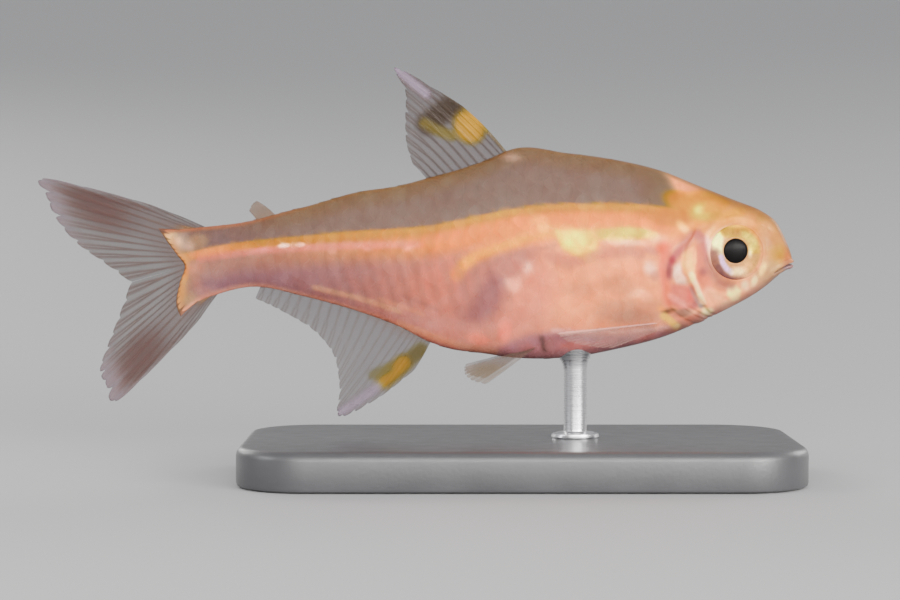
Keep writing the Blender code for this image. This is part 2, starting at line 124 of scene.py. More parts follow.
# back, top, bottom, level of greatest width, half width, sharpness
TOP, BOTTOM, LEVEL, HALF_WIDTH, SHARPNESS = range(1, 6)
PROFILE = np.array((
    (0.00, -0.30, -0.30, -0.30, 0.00, 0.80),
    (0.04, 0.02, -0.53, -0.26, 0.16, 0.80),
    (0.14, 0.36, -0.62, -0.16, 0.31, 0.80),
    (0.40, 0.98, -0.68, 0.05, 0.58, 0.80),
    (0.90, 1.93, -1.12, 0.15, 0.98, 0.84),
    (1.70, 2.55, -1.78, 0.20, 1.34, 0.88),
    (3.35, 3.22, -2.76, 0.25, 1.76, 0.92),
    (5.50, 4.08, -3.78, 0.35, 2.12, 0.95),
    (7.30, 4.80, -4.50, 0.45, 2.32, 0.98),
    (9.60, 5.37, -5.10, 0.55, 2.40, 0.98),
    (12.6, 5.80, -5.62, 0.55, 2.32, 0.98),
    (15.6, 6.03, -5.62, 0.50, 2.12, 1.02),
    (17.3, 5.32, -5.38, 0.45, 1.96, 1.06),
    (19.3, 4.68, -5.08, 0.42, 1.74, 1.10),
    (20.3, 4.42, -4.72, 0.40, 1.62, 1.12),
    (21.9, 3.99, -3.90, 0.38, 1.44, 1.14),
    (24.3, 3.62, -3.02, 0.35, 1.24, 1.16),
    (27.5, 2.74, -2.16, 0.30, 0.98, 1.16),
    (30.7, 2.12, -1.52, 0.30, 0.74, 1.08),
    (32.4, 2.20, -1.62, 0.30, 0.62, 1.00),
    (34.2, 2.48, -1.88, 0.30, 0.46, 0.95),
    (35.6, 2.96, -2.56, 0.30, 0.38, 0.95),
))


def profile(column, back):
    """One column of PROFILE at a distance behind the snout."""
    stations = np.sqrt(PROFILE[:, 0])
    return smooth_through(stations, PROFILE[:, column], np.sqrt(np.maximum(back, 0)))


def reach_from(back, upper):
    """The level of greatest width, and the way from it to the top or else to the bottom."""
    level = profile(LEVEL, back)
    return level, np.where(upper, profile(TOP, back) - level, level - profile(BOTTOM, back))


def section(back, angle):
    """A point of the plain body: angle 0 is its left side, a quarter turn its back.

    side is the half width times the cosine to the power of the sharpness; up is the level plus
    the sine times the reach to the top or to the bottom.
    """
    back, angle = np.broadcast_arrays(np.asarray(back, float), angle)
    level, reach = reach_from(back, np.sin(angle) > 0)
    cosine = np.cos(angle)
    side = profile(HALF_WIDTH, back) * np.sign(cosine) * np.abs(cosine) ** profile(SHARPNESS, back)
    return np.stack([back, side, level + reach * np.sin(angle)], axis=-1)


def side_angle(back, up):
    """The angle of the left side's point at a height: the sine is height over reach."""
    level, reach = reach_from(back, up > profile(LEVEL, back))
    return np.arcsin(np.clip((up - level) / np.maximum(reach, 1e-6), -1, 1))


print("depth at 13 mm:", profile(TOP, 13.0) - profile(BOTTOM, 13.0))
print("width at 13 mm:", 2 * profile(HALF_WIDTH, 13.0))

# %% [markdown]
# ## The swing of the tail
#
# The fish is caught turning a little: behind the belly the tail swings to the left, and its end
# droops. Each is an arc. A straight line is laid along the arc, and what stands across the line
# stands across the arc just the same, so lengths hardly change. Droop comes first, sweep second.

# %% From the straight fish to the world
TAIL_AXIS_UP = 0.3
DROOP = (27.5, 34.2, math.radians(-15.0))
SWEEP = (19.0, 36.0, math.radians(11.0))


def swing(along, across, start, end, angle):
    """Carries points across a straight line onto the same line bent round an arc."""
    sign, size = math.copysign(1, angle), abs(angle)
    radius = (end - start) / size
    turn = np.clip((along - start) / radius, 0, size)
    past = np.maximum(along - end, 0)
    line_along = np.minimum(along, start) + radius * np.sin(turn) + past * math.cos(size)
    line_across = sign * (radius * (1 - np.cos(turn)) + past * math.sin(size))
    return line_along - sign * across * np.sin(turn), line_across + across * np.cos(turn)


def place(points):
    """Fish measures in mm (back, side, up) to world places in metres."""
    back, side, up = np.moveaxis(np.asarray(points, float), -1, 0)
    back, up = swing(back, up - TAIL_AXIS_UP, *DROOP)
    back, side = swing(back, side, *SWEEP)
    height = AXIS_Z + (TAIL_AXIS_UP + up) * MM
    return np.stack([SNOUT_X - back * MM, side * MM, height], axis=-1)


print("the tail's end lies at", place((STANDARD_LENGTH, 0, TAIL_AXIS_UP)).round(4))

# %% [markdown]
# ## Camera
#
# The photograph looks square at the fish's right side, from very little above. A long lens
# keeps the near and the far side alike. Two numbers tie the frame to the fish: how many
# millimetres the picture is wide at the fish, and where the picture's middle falls.

# %% Set the camera
PICTURE_WIDTH = 50.28 * MM
PICTURE_MIDDLE = Vector((SNOUT_X - 19.106 * MM, 0, AXIS_Z - 2.402 * MM))
LENS, SENSOR = 100.0, 36.0
CAMERA_RISE = math.radians(2.3)

lens_data = bpy.data.cameras.new("camera")
lens_data.lens, lens_data.sensor_width = LENS, SENSOR
lens_data.clip_start, lens_data.clip_end = 0.01, 20
camera = bpy.data.objects.new("camera", lens_data)
bpy.context.scene.collection.objects.link(camera)
away = Vector((0, -math.cos(CAMERA_RISE), math.sin(CAMERA_RISE)))
camera.location = PICTURE_MIDDLE + away * (PICTURE_WIDTH * LENS / SENSOR)
camera.rotation_euler = (-away).to_track_quat("-Z", "Y").to_euler()
bpy.context.scene.camera = camera
print("camera height over the floor in mm:", round(1000 * camera.location.z, 1))

# %% [markdown]
# ## Turning grids into meshes
#
# A grid of points becomes faces by joining each point to its right and upper neighbours. The
# same few shapes come back all through: a grid, a grid closed round with a point at each end,
# and a thin sheet of two faces with a wall between their borders. One more helper builds the
# object, drops points that no face uses, and turns the whole shape out if its volume comes out
# negative.


# %% Faces of grids
def circle(count):
    """The angles of so many points round a circle."""
    return 2 * math.pi * np.arange(count) / count


def grid_faces(rows, columns, around=True, along=False):
    """Corner numbers of a grid's quads; around joins the last column to the first."""
    row = np.arange(rows if along else rows - 1)[:, None]
    column = np.arange(columns if around else columns - 1)[None, :]
    below, beside = (row + 1) % rows, (column + 1) % columns
    corners = (row * columns + column, row * columns + beside,
               below * columns + beside, below * columns + column)
    return np.stack([np.broadcast_to(c, (row.size, column.size)) for c in corners], -1).reshape(-1, 4)


def fan(centre, ring):
    """Triangles from one point to each side of a closed ring, as quads with a double corner."""
    ring = np.asarray(ring)
    there = np.roll(ring, -1)
    return np.stack([np.full(ring.size, centre), ring, there, there], -1)


def capped_faces(rows, columns):
    """A grid closed round, and a fan to each of the two points after it: its start, its end."""
    first, total = np.arange(columns), rows * columns
    last = total - columns + first
    return np.vstack([grid_faces(rows, columns), fan(total, first[::-1]), fan(total + 1, last)])


def sheet_faces(rows, columns):
    """A grid, its other face on the points after it, and the wall between their borders."""
    total = rows * columns
    face = grid_faces(rows, columns, around=False)
    border = np.concatenate([
        np.arange(columns), columns - 1 + columns * np.arange(1, rows),
        total - 1 - np.arange(1, columns), total - columns - columns * np.arange(1, rows - 1)])
    there = np.roll(border, -1)
    wall = np.stack([border, border + total, there + total, there], -1)
    return np.vstack([face, face[:, ::-1] + total, wall])


print("a grid of 3 by 4 points closed round has", len(grid_faces(3, 4)), "faces")


# %% Objects from points and faces
def volume_of(points, faces):
    """Six times the volume: the sum of each face's corners' triple product, in two halves."""
    a, b, c, d = (points[faces[:, k]] for k in range(4))
    return np.sum(a * np.cross(b, c)) + np.sum(a * np.cross(c, d))


def make_piece(name, points, faces, material=None, crease=None):
    """An object of world points and quads, faces turned out, smooth but for sharp creases."""
    points = np.asarray(points, float).reshape(-1, 3)
    if volume_of(points, faces) < 0:
        faces = faces[:, ::-1]
    used, flat = np.unique(faces, return_inverse=True)
    faces = flat.reshape(-1, 4)
    counted = faces != np.roll(faces, 1, axis=1)      # a double corner counts once
    corners, sizes = faces[counted], counted.sum(axis=1)
    mesh = bpy.data.meshes.new(name)
    mesh.vertices.add(len(used))
    mesh.vertices.foreach_set("co", points[used].astype(np.float32).ravel())
    mesh.loops.add(len(corners))
    mesh.loops.foreach_set("vertex_index", corners.astype(np.int32))
    mesh.polygons.add(len(sizes))
    mesh.polygons.foreach_set("loop_start", (np.cumsum(sizes) - sizes).astype(np.int32))
    mesh.polygons.foreach_set("use_smooth", np.ones(len(sizes), bool))
    mesh.update(calc_edges=True)
    mesh.validate()
    if crease:
        mesh.set_sharp_from_angle(angle=math.radians(crease))
    if material:
        mesh.materials.append(material)
    piece = bpy.data.objects.new(name, mesh)
    bpy.context.scene.collection.objects.link(piece)
    return piece, used


def paint_points(piece, used, **layers):
    """Writes values to a piece's points: three numbers each as a colour, one as a plain value."""
    for name, values in layers.items():
        values = np.asarray(values, np.float32)
        if values.ndim > 1 and values.shape[-1] == 3:
            colours = np.ones((len(used), 4), np.float32)
            colours[:, :3] = values.reshape(-1, 3)[used]
            layer = piece.data.attributes.new(name, "FLOAT_COLOR", "POINT")
            layer.data.foreach_set("color", colours.ravel())
        else:
            layer = piece.data.attributes.new(name, "FLOAT", "POINT")
            layer.data.foreach_set("value", values.ravel()[used])


def lay_out(piece, used, u, v, name="OFBake"):
    """Gives a piece a UV map of one place per point."""
    layer = piece.data.uv_layers.new(name=name)
    corners = np.empty(len(piece.data.loops), np.int32)
    piece.data.loops.foreach_get("vertex_index", corners)
    flat = np.stack([np.asarray(u, np.float32).ravel(), np.asarray(v, np.float32).ravel()], -1)
    layer.uv.foreach_set("vector", flat[used][corners].ravel())


def triangles_of(piece):
    return sum(len(face.vertices) - 2 for face in piece.data.polygons)


print("six times a unit pyramid's volume:", volume_of(
    np.array(((0, 0, 0), (1, 0, 0), (0, 1, 0), (0, 0, 1))),
    np.array(((0, 2, 1, 1), (0, 1, 3, 3), (1, 2, 3, 3), (2, 0, 3, 3)))))

# %% [markdown]
# ## Colours as the screen shows them
#
# The marks below are given as screen colours, from 0 to 255, the way that one reads them off a
# fish. The film curve of the picture is an S, which flattens highlights and pales strong colours.
# So the base colours are made by the reverse of such a curve: each share of white over what is
# left above it, to a power. A small mix of the three channels keeps the hue, and strong colours
# are laid darker, because bright light pales them.

# %% Screen colours to base colours
FILM_GAIN, FILM_TOP, FILM_POWER = 0.112, 1.22, 1.6
KEEP_HUE = np.array(((0.81, 0.05, 0.08), (-0.03, 1.08, -0.10), (-0.05, -0.07, 1.04)))
PALING, PALING_FROM = 0.8, 0.40


def pigment(colour):
    """The base colour for a screen colour: the reverse of the film curve, mixed, then darkened.

    The curve's reverse is a gain times (share / (top - share)) to a power. The darkening grows
    with the colour's saturation, one less its least over its greatest channel.
    """
    share = np.asarray(colour, float) / 255
    base = FILM_GAIN * (share / (FILM_TOP - share)) ** FILM_POWER @ KEEP_HUE.T
    strong = 1 - share.min(axis=-1, keepdims=True) / share.max(axis=-1, keepdims=True)
    return np.clip(base * (1 - PALING * np.maximum(strong - PALING_FROM, 0)), 0.003, 0.93)


def paint_look(piece, used, look):
    """Writes looks, of three screen colours and a shine, to a piece's points."""
    look = look.reshape(-1, 4)
    paint_points(piece, used, look=pigment(look[:, :3]), shine=look[:, 3])


print("a peach flank needs the base colour", pigment((238, 178, 148)).round(3))

# %% [markdown]
# ## Where the head ends
#
# The gill cover is a stiff plate that ends free, with a gap behind it. Seen from the side its
# edge is a curve, and so is the edge of the flesh over the tail fin's roots. The skin is one
# grid, so its columns are bent to follow both curves: for each angle round the body, the place
# is found where the surface crosses the curve.

# %% Gill edge and flesh edge
AROUND, CROSSING_STEPS = 224, 300
angles = circle(AROUND)

# back, up, from the throat to the nape
GILL_LINE = np.array((
    (4.20, -9.00), (4.45, -4.30), (5.05, -3.85), (5.90, -3.45), (6.66, -2.95), (7.10, -2.20),
    (7.20, -1.20), (7.12, -0.20), (6.85, 0.60), (6.30, 1.15), (6.12, 1.75), (6.72, 2.90),
    (7.05, 4.30), (7.05, 9.00),
))
# back, up, from the lower lobe to the upper
FLESH_LINE = np.array((
    (34.9, -4.00), (35.15, -2.55), (35.25, -1.65), (34.75, -0.53), (34.20, 0.40),
    (34.45, 1.00), (34.85, 2.00), (35.15, 2.91), (35.0, 4.50),
))


def line_back(line, up):
    """How far back a line lies at a height."""
    return smooth_through(line[:, 1], line[:, 0], up)


def crossing(line, low, high):
    """For each angle, where the plain body crosses a line, between two distances."""
    backs = np.linspace(low, high, CROSSING_STEPS)[:, None]
    past = backs - line_back(line, section(backs, angles)[..., 2])
    first = np.maximum(np.argmax(past > 0, axis=0), 1)
    column = np.arange(AROUND)
    before, after = past[first - 1, column], past[first, column]
    step = backs[1, 0] - backs[0, 0]
    return backs[first, 0] - step * after / np.maximum(after - before, 1e-9)


gill_edge = crossing(GILL_LINE, 4.0, 8.5)
flesh_edge = crossing(FLESH_LINE, 33.0, 35.58)
print("gill edge from", gill_edge.min().round(2), "to", gill_edge.max().round(2), "mm")
print("flesh edge from", flesh_edge.min().round(2), "to", flesh_edge.max().round(2), "mm")


# %% A point of the body, moved out along its normal
FLESH_TAPER, FLESH_ROUND = 2.4, 0.7        # length, power of what is left
STEP_ALONG, STEP_AROUND = 0.05, 0.02       # the small steps that give a normal


def body(back, angle):
    """The section, thinned to nothing at the flesh edge by a power of what is left."""
    points = section(back, angle)
    end = np.interp(np.mod(angle, 2 * math.pi), angles, flesh_edge, period=2 * math.pi)
    left = np.clip((end - points[..., 0]) / FLESH_TAPER, 0, 1)
    points[..., 1] *= left ** FLESH_ROUND
    return points


def on_skin(back, angle, lift=0.0):
    """A point of the body moved out by lift.

    The normal is the cross product of two small steps over the surface, one round it and
    one along it.
    """
    back, angle = np.broadcast_arrays(np.asarray(back, float), angle)
    step = np.minimum(STEP_ALONG, 0.3 * back + 1e-4)
    along = section(back + step, angle) - section(back - step, angle)
    across = section(back, angle + STEP_AROUND) - section(back, angle - STEP_AROUND)
    normal = np.cross(across, along)
    normal /= np.maximum(np.linalg.norm(normal, axis=-1, keepdims=True), 1e-12)
    return body(back, angle) + normal * np.asarray(lift)[..., None]


print("a lift of 1 mm on the flank:", on_skin(12.0, 0.0, 1.0).round(2))

# %% [markdown]
# ## Relief of the head
#
# A fish's head is bone under thin skin, so every plate shows. Each one is a hill or a groove,
# added along the normal: a distance from a line or from the eye goes in, a height comes out.
# Built this way, each feature has one name and one size, and the grid need not know about it.

# %% Distances seen from the side
def to_line(back, up, line):
    """How far points are from a line of (back, up) points, in the side view."""
    line = np.asarray(line, float)
    nearest = np.full(np.shape(back), np.inf)
    for start, end in zip(line[:-1], line[1:]):
        run = end - start
        share = ((back - start[0]) * run[0] + (up - start[1]) * run[1]) / (run @ run)
        share = np.clip(share, 0, 1)
        gap = np.hypot(back - start[0] - share * run[0], up - start[1] - share * run[1])
        nearest = np.minimum(nearest, gap)
    return nearest


def to_eye(back, up):
    return np.hypot(back - EYE_BACK, up - EYE_UP)


print("from the eye's middle to the snout:", to_eye(0.0, -0.3).round(2), "mm")

# %% Lips, bones and pits
MOUTH = ((-0.4, -0.24), (0.35, -0.46), (0.80, -0.66), (1.10, -0.86))
LIP_OFF = 0.13                            # each lip's crest, off the slit
# back, up, radius
NOSTRILS = ((1.44, 1.52, 0.12), (1.80, 1.66, 0.15))
# the edge of the bone before the gill cover
PREOPERCLE = ((5.75, 1.3), (6.0, 0.5), (6.1, -0.3), (5.95, -0.9), (5.64, -1.4), (5.36, -1.9),
              (5.0, -2.4), (4.6, -2.9))
JAW_PLATE = ((0.72, -0.30), (1.15, -0.75), (1.42, -1.25))
CHEEK_OFF, BROW_OFF = 2.42, 1.95          # rings of bone, from the eye's middle
GILL_PROUD, GILL_TOP, GILL_COVER = 0.042, 1.3, 1.9
THROAT_RAY = 0.30                         # from one ripple to the next
gill_bend = GILL_LINE[2:11]               # the gill line without its ends at throat and nape

# height and half width of each
LIP, CHEEK, BROW, JAW = (0.085, 0.17), (0.045, 0.70), (0.020, 0.40), (0.045, 0.30)
GILL_RIDGE, GILL_GROOVE = (0.070, 0.30), (-0.055, 0.22)
SLIT_DEPTH, SLIT_DEEPER, SLIT_WIDTH = 0.06, 0.22, 0.075
PIT_RIM, PIT_DEPTH = (0.012, 0.14), 0.07


def ridge(distance, size):
    """A hill of a height and a half width. A height below zero makes a groove."""
    height, width = size
    return height * hill(distance, width)


def lips(back, up):
    """Two rounded lips along the mouth line, with a slit between that grows shallow behind."""
    gap = to_line(back, up, MOUTH)
    fade = soft_fall(0.75, 1.15, back)
    rolls = ridge(gap - LIP_OFF, LIP) * (1 - 0.6 * soft_step(0.6, 1.3, back))
    return rolls - (SLIT_DEPTH + SLIT_DEEPER * fade) * hill(gap, SLIT_WIDTH)


def bones(back, up):
    """The plates of the side of the head: cheek ring, edge before the gill cover, jaw, brow."""
    cheek = ridge(to_eye(back, up) - CHEEK_OFF, CHEEK) * soft_step(2.4, 3.6, back - 0.55 * up)
    edge = ridge(to_line(back, up, PREOPERCLE), GILL_RIDGE)
    groove = ridge(to_line(back - 0.30, up + 0.05, PREOPERCLE), GILL_GROOVE)
    jaw = ridge(to_line(back, up, JAW_PLATE), JAW)
    brow = ridge(to_eye(back, up) - BROW_OFF, BROW) * soft_step(0.2, 1.4, up)
    return cheek + edge + groove + jaw + brow


def throat_rays(back, up):
    """The few curved rays of skin under the gill cover, as ripples off its lower edge."""
    gap = to_line(back, up, gill_bend)
    ripples = 1 + np.cos(2 * math.pi * gap / THROAT_RAY)
    return -0.022 * ripples * hill(gap - 0.55, 0.75) * soft_fall(-3.0, -2.3, up)


def nostril_pits(back, up):
    """A pit with a thin raised rim for each nostril, the front one smaller."""
    height = np.zeros(np.shape(back))
    for pit_back, pit_up, radius in NOSTRILS:
        gap = np.hypot(back - pit_back, up - pit_up)
        height += ridge(gap - radius, PIT_RIM) - PIT_DEPTH * soft_fall(0.30, 1.2, gap / radius)
    return height


def head_relief(back, up, facing):
    """All of the head's plates. facing is 0 on the midline and 1 on the flank."""
    flank = np.clip(2.2 * facing, 0, 1)
    cover = ridge(to_line(back, up, gill_bend), (GILL_PROUD, GILL_COVER))
    cover *= np.clip((GILL_TOP - up) / 0.5, 0, 1) * soft_step(3.2, 4.4, back)
    on_side = (cover + bones(back, up) + nostril_pits(back, up)) * flank
    return on_side + lips(back, up) + throat_rays(back, up)


print("the gill cover stands", head_relief(6.9, -1.2, 1.0).round(3), "mm proud near its edge")

# %% [markdown]
# ## Markings
#
# Golden pristellas have almost no black. The flank is peach over pink muscle, the gut lies in a
# cream sac that shines through, and over it runs a golden line. Above that the back is clear
# grey flesh. The marks are washes, laid one over another like paint: each is a soft oval, a band
# along a line, or an area with corners, with a place in millimetres and a colour. Skin and
# scales ask the same function, so they agree. Besides its colour each mark carries a shine from
# 0 to 1, for silvery skin.


# %% Brushes
def oval(at, radii, tilt=0.0, edge=0.45):
    """A brush that is 1 inside a tilted ellipse, with an edge soft over a share of its radius."""
    turn = math.radians(tilt)

    def brush(back, up):
        along = (back - at[0]) * math.cos(turn) + (up - at[1]) * math.sin(turn)
        across = (up - at[1]) * math.cos(turn) - (back - at[0]) * math.sin(turn)
        return soft_fall(1 - edge, 1 + edge, np.hypot(along / radii[0], across / radii[1]))
    return brush


def band(line, half, edge=0.6):
    """A brush that is 1 along a line and 0 past its half width."""
    def brush(back, up):
        return soft_fall(1 - edge, 1 + edge, to_line(back, up, line) / half)
    return brush


def area(corners, soft):
    """A brush that is 1 inside a row of corners and 0 outside, with a soft border.

    A point is inside if a ray from it, towards the tail, crosses the border an odd number of times.
    """
    corners = np.array(corners, float)
    closed = np.vstack([corners, corners[:1]])

    def brush(back, up):
        inside = np.zeros(np.shape(back), bool)
        for (start_back, start_up), (end_back, end_up) in zip(closed[:-1], closed[1:]):
            spans = (start_up > up) != (end_up > up)
            run = (end_back - start_back) / (end_up - start_up or 1e-9)
            inside ^= spans & (back < start_back + (up - start_up) * run)
        gap = to_line(back, up, closed)
        return soft_fall(-soft, soft, np.where(inside, -gap, gap))
    return brush


def wash(look, mask, colour, shine=None):
    """Lays a colour, and a shine if given, over a look of four values by a mask."""
    look[..., :3] += (np.array(colour, float) - look[..., :3]) * mask[..., None]
    if shine is not None:
        look[..., 3] += (shine - look[..., 3]) * mask


LATTICE = 64                              # its steps each way, before it starts anew


def blotches(back, up, size, seed):
    """Soft random blotches from -1 to 1: random values on a lattice, joined by soft steps."""
    table = np.random.default_rng(seed).uniform(-1, 1, (LATTICE, LATTICE))
    across, along = back / size, up / size + 20
    i, j = np.floor(across).astype(int), np.floor(along).astype(int)
    a, b = soft_step(0, 1, across - i), soft_step(0, 1, along - j)
    (i, i_next), (j, j_next) = ((k % LATTICE, (k + 1) % LATTICE) for k in (i, j))
    low = table[i, j] * (1 - a) + table[i_next, j] * a
    high = table[i, j_next] * (1 - a) + table[i_next, j_next] * a
    return low * (1 - b) + high * b


print("an oval's mask at its middle:", oval((0, 0), (1, 1))(np.array(0.0), np.array(0.0)))

# %% Ground colours of the body
STRIPE = np.array((
    (5.6, 2.40), (6.7, 2.62), (7.93, 2.80), (11.0, 2.94), (13.0, 2.92), (15.3, 2.70),
    (18.5, 2.05), (20.5, 1.66), (23.0, 1.48), (25.1, 1.34), (28.4, 1.04), (32.0, 0.98),
    (36.0, 1.00),
))
FLANK_BACKS = (6.0, 13.0, 19.5, 26.0, 34.0)
FLANK = np.array((
    (244, 188, 154), (240, 180, 150), (222, 156, 142), (188, 138, 140), (168, 128, 138)))
BACK_GREY = (156, 128, 121)


def ground(back, up):
    """Flank, grey back and the golden line, before any single mark."""
    flank = np.stack([smooth_through(FLANK_BACKS, FLANK[:, k], back) for k in range(3)], -1)
    look = np.concatenate([flank, np.full((*np.shape(back), 1), 0.30)], -1)
    fade = soft_fall(17.0, 31.0, back)
    wash(look, 0.50 * soft_fall(-3.8, -1.8, up), (222, 172, 172))
    over = up - smooth_through(STRIPE[:, 0], STRIPE[:, 1], back)
    under_line = soft_step(-2.1, -0.9, over) * soft_fall(0.0, 0.1, over)
    wash(look, under_line * (0.25 + 0.65 * fade), (242, 172, 104), 0.15)
    nape = soft_step(6.25, 6.95, back - 0.45 * (up - 3.3))
    grey = soft_step(-0.05, 0.12, over) * nape
    wash(look, grey, BACK_GREY, 0.10)
    wash(look, 0.40 * grey * soft_step(-1.3, -0.3, up - profile(TOP, back)), (160, 124, 88))
    wash(look, 0.40 * grey * oval((7.3, 3.5), (1.2, 0.9))(back, up), (144, 112, 90))
    gold = soft_step(-0.60, -0.20, over) * soft_fall(-0.02, 0.12, over)
    wash(look, gold * soft_step(6.2, 7.8, back) * (0.60 + 0.40 * fade), (235, 182, 26), 0.03)
    crest = soft_step(-0.34, -0.14, over) * soft_fall(-0.04, 0.08, over)
    wash(look, 0.70 * crest * fade * soft_step(6.4, 8.0, back), (244, 202, 30), 0.03)
    wash(look, 0.80 * gold * soft_step(29.0, 32.5, back), (238, 172, 144), 0.30)
    wash(look, 0.60 * grey * soft_step(27.0, 32.0, back), (150, 118, 124), 0.20)
    pink = band(((20.8, 0.72), (25.0, 0.62), (28.2, 0.48), (31.3, 0.44), (33.2, 0.50)), 0.20)
    wash(look, 0.62 * pink(back, up), (238, 160, 152), 0.6)
    return look


print("the golden line lies", smooth_through(STRIPE[:, 0], STRIPE[:, 1], 13.0), "mm over the axis")

# %% [markdown]
# ### Marks of the trunk
#
# Each row is one mark: brush, strength, colour, shine. They run from the belly to the tail. Rows
# are the simplest form for a person to adjust, one at a time, against the fish.

# %% Marks of the belly and its wall
GUT_ARC = ((18.75, -0.95), (18.35, -0.38), (17.70, 0.08), (16.6, 0.54), (14.9, 1.07), (13.3, 1.42))
BELLY_MARKS = (
    (oval((11.2, -1.4), (4.2, 2.9)), 0.75, (243, 186, 156), 0.35),
    (oval((15.2, -1.9), (1.9, 2.1), 30), 0.60, (232, 168, 158), 0.30),
    (area(((18.6, -0.9), (17.6, -0.2), (16.4, 0.25), (14.6, 0.62), (14.2, 0.2), (15.2, -0.8),
           (15.9, -2.2), (16.8, -3.6), (18.6, -3.9), (19.2, -2.4)), 0.55), 0.62, (202, 144, 142), 0.22),
    (area(((16.9, -0.7), (16.1, -1.3), (16.5, -2.8), (17.5, -3.6), (18.3, -3.3), (17.6, -1.9)), 0.35),
     0.72, (186, 130, 134), 0.20),
    (band(((18.3, -1.2), (17.2, -0.35), (16.1, 0.02), (14.6, 0.42), (13.4, 0.66)), 0.12),
     0.45, (204, 146, 136), 0.25),
    (band(GUT_ARC, 0.34), 0.80, (244, 184, 122), 0.30),
    (band(GUT_ARC[1:], 0.18), 0.85, (250, 200, 84), 0.15),
    (oval((18.1, -0.2), (0.55, 0.26), -45), 0.60, (254, 206, 146), 0.60),
    # clear panes where the swim bladder shines
    (area(((13.35, 1.50), (12.3, 1.62), (11.2, 1.52), (10.95, 0.75), (11.65, -0.10), (12.2, 0.12),
           (12.95, 0.52)), 0.14), 0.95, (254, 232, 104), 0.10),
    (oval((12.35, 1.05), (0.75, 0.42), 8), 0.80, (255, 243, 150), 0.20),
    (oval((11.35, 0.25), (0.45, 0.55), 30), 0.60, (254, 226, 152), 0.30),
    (area(((11.2, 1.55), (9.6, 1.72), (8.3, 1.62), (7.85, 1.25), (8.6, 1.02), (10.0, 0.98),
           (11.0, 1.0)), 0.11), 0.95, (246, 224, 52), 0.05),
    (oval((9.25, 1.45), (0.85, 0.22), 2, 0.6), 0.88, (250, 232, 48), 0.04),
    (oval((8.0, 1.22), (0.36, 0.24), 0), 0.80, (255, 242, 160), 0.40),
    (oval((9.6, 0.90), (1.20, 0.20), 4), 0.70, (250, 222, 200), 0.55),
    (oval((13.96, 1.68), (0.34, 0.24), 0), 0.65, (253, 218, 150), 0.55),
    (oval((14.3, 2.10), (0.5, 0.22), -12), 0.40, (252, 206, 140), 0.45),
    # shoulder, behind the gill cover
    (band(((13.6, 0.10), (12.6, -0.30), (10.6, 0.30), (9.3, 0.40), (8.7, 0.26)), 0.32),
     0.60, (216, 150, 138), 0.20),
    (oval((7.70, 0.98), (0.42, 0.26), 0, 0.8), 0.75, (250, 216, 186), 0.40),
    (oval((8.05, 0.42), (0.45, 0.22), 20), 0.50, (216, 152, 150), 0.25),
    (oval((7.38, 0.52), (0.36, 0.36), 0, 0.8), 0.80, (238, 134, 118), 0.25),
    (oval((7.40, -0.55), (0.30, 0.75), 0), 0.45, (240, 156, 146), 0.30),
    # a painted highlight: a glossy cream spot on the shoulder
    (oval((8.12, -0.56), (0.34, 0.38), 0, 0.6), 0.85, (252, 222, 208), 0.50),
    (oval((7.85, -0.95), (0.26, 0.30), 0), 0.45, (212, 152, 146), 0.30),
    # painted highlights: two cream spots lower on the shoulder
    (oval((8.84, -1.93), (0.50, 0.24), -8), 0.70, (252, 208, 184), 0.60),
    (oval((8.30, -2.15), (0.40, 0.30), 0), 0.60, (248, 196, 172), 0.50),
    (oval((9.9, -1.5), (0.90, 0.55), 10), 0.38, (208, 150, 130), 0.20),
    (oval((9.75, -2.95), (1.30, 0.65), 0), 0.42, (200, 148, 134), 0.22),
    (oval((9.0, -3.30), (1.1, 0.42), 0), 0.45, (200, 156, 144), 0.30),
    (oval((8.0, -2.9), (0.8, 0.6), 0), 0.35, (214, 160, 142), 0.25),
    (oval((11.95, -1.75), (0.90, 0.40), 0), 0.32, (212, 152, 136), 0.20),
    (oval((12.9, -2.6), (0.9, 0.8), 0), 0.30, (248, 190, 164), 0.35),
    # pale points on the gut wall, painted as highlights
    (area(((16.1, -1.15), (15.2, -1.05), (15.15, -1.55), (15.6, -1.95), (16.0, -1.6)), 0.20),
     0.80, (252, 206, 190), 0.60),
    (oval((14.84, -0.52), (0.28, 0.26), 0, 0.8), 0.75, (254, 226, 212), 0.65),
    (oval((15.35, -0.42), (0.42, 0.30), 0), 0.40, (216, 148, 138), 0.20),
    # the lower edge, from the breast to the vent
    (area(((13.6, -4.10), (10.0, -4.28), (6.8, -4.02), (6.4, -4.6), (9.0, -5.6), (14.0, -6.0),
           (17.0, -5.9), (16.2, -4.9), (14.8, -4.3)), 0.30), 0.78, (196, 146, 160), 0.30),
    # a painted highlight: a pale, glossy line along the lower edge of the belly
    (band(((13.4, -4.02), (11.4, -4.10), (9.0, -4.05), (7.0, -3.90)), 0.11), 0.70, (238, 200, 198), 0.70),
    (oval((16.05, -4.10), (0.36, 0.60), 8), 0.65, (252, 176, 166), 0.40),
    (oval((17.55, -4.55), (0.60, 0.36), 16), 0.60, (244, 168, 154), 0.40),
    (oval((15.0, -4.80), (0.42, 0.40), 0), 0.50, (206, 150, 150), 0.25),
    (band(((14.02, -4.45), (13.95, -4.80), (13.85, -5.15)), 0.13, 1.0), 0.75, (134, 98, 94), 0.10),
    (oval((13.5, -4.80), (0.26, 0.40), 0), 0.40, (190, 140, 138), 0.30),
    (oval((12.1, -4.9), (0.9, 0.30), 0), 0.50, (226, 150, 144), 0.35),
    (oval((10.4, -4.75), (0.7, 0.26), -4), 0.45, (216, 134, 138), 0.30),
    (oval((8.3, -4.45), (0.8, 0.26), -8), 0.50, (236, 162, 156), 0.40),
    (band(((21.9, -3.70), (20.1, -4.40), (18.5, -4.92), (16.6, -5.30)), 0.20), 0.60, (238, 184, 158), 0.40),
)
print(len(BELLY_MARKS), "marks on the belly")

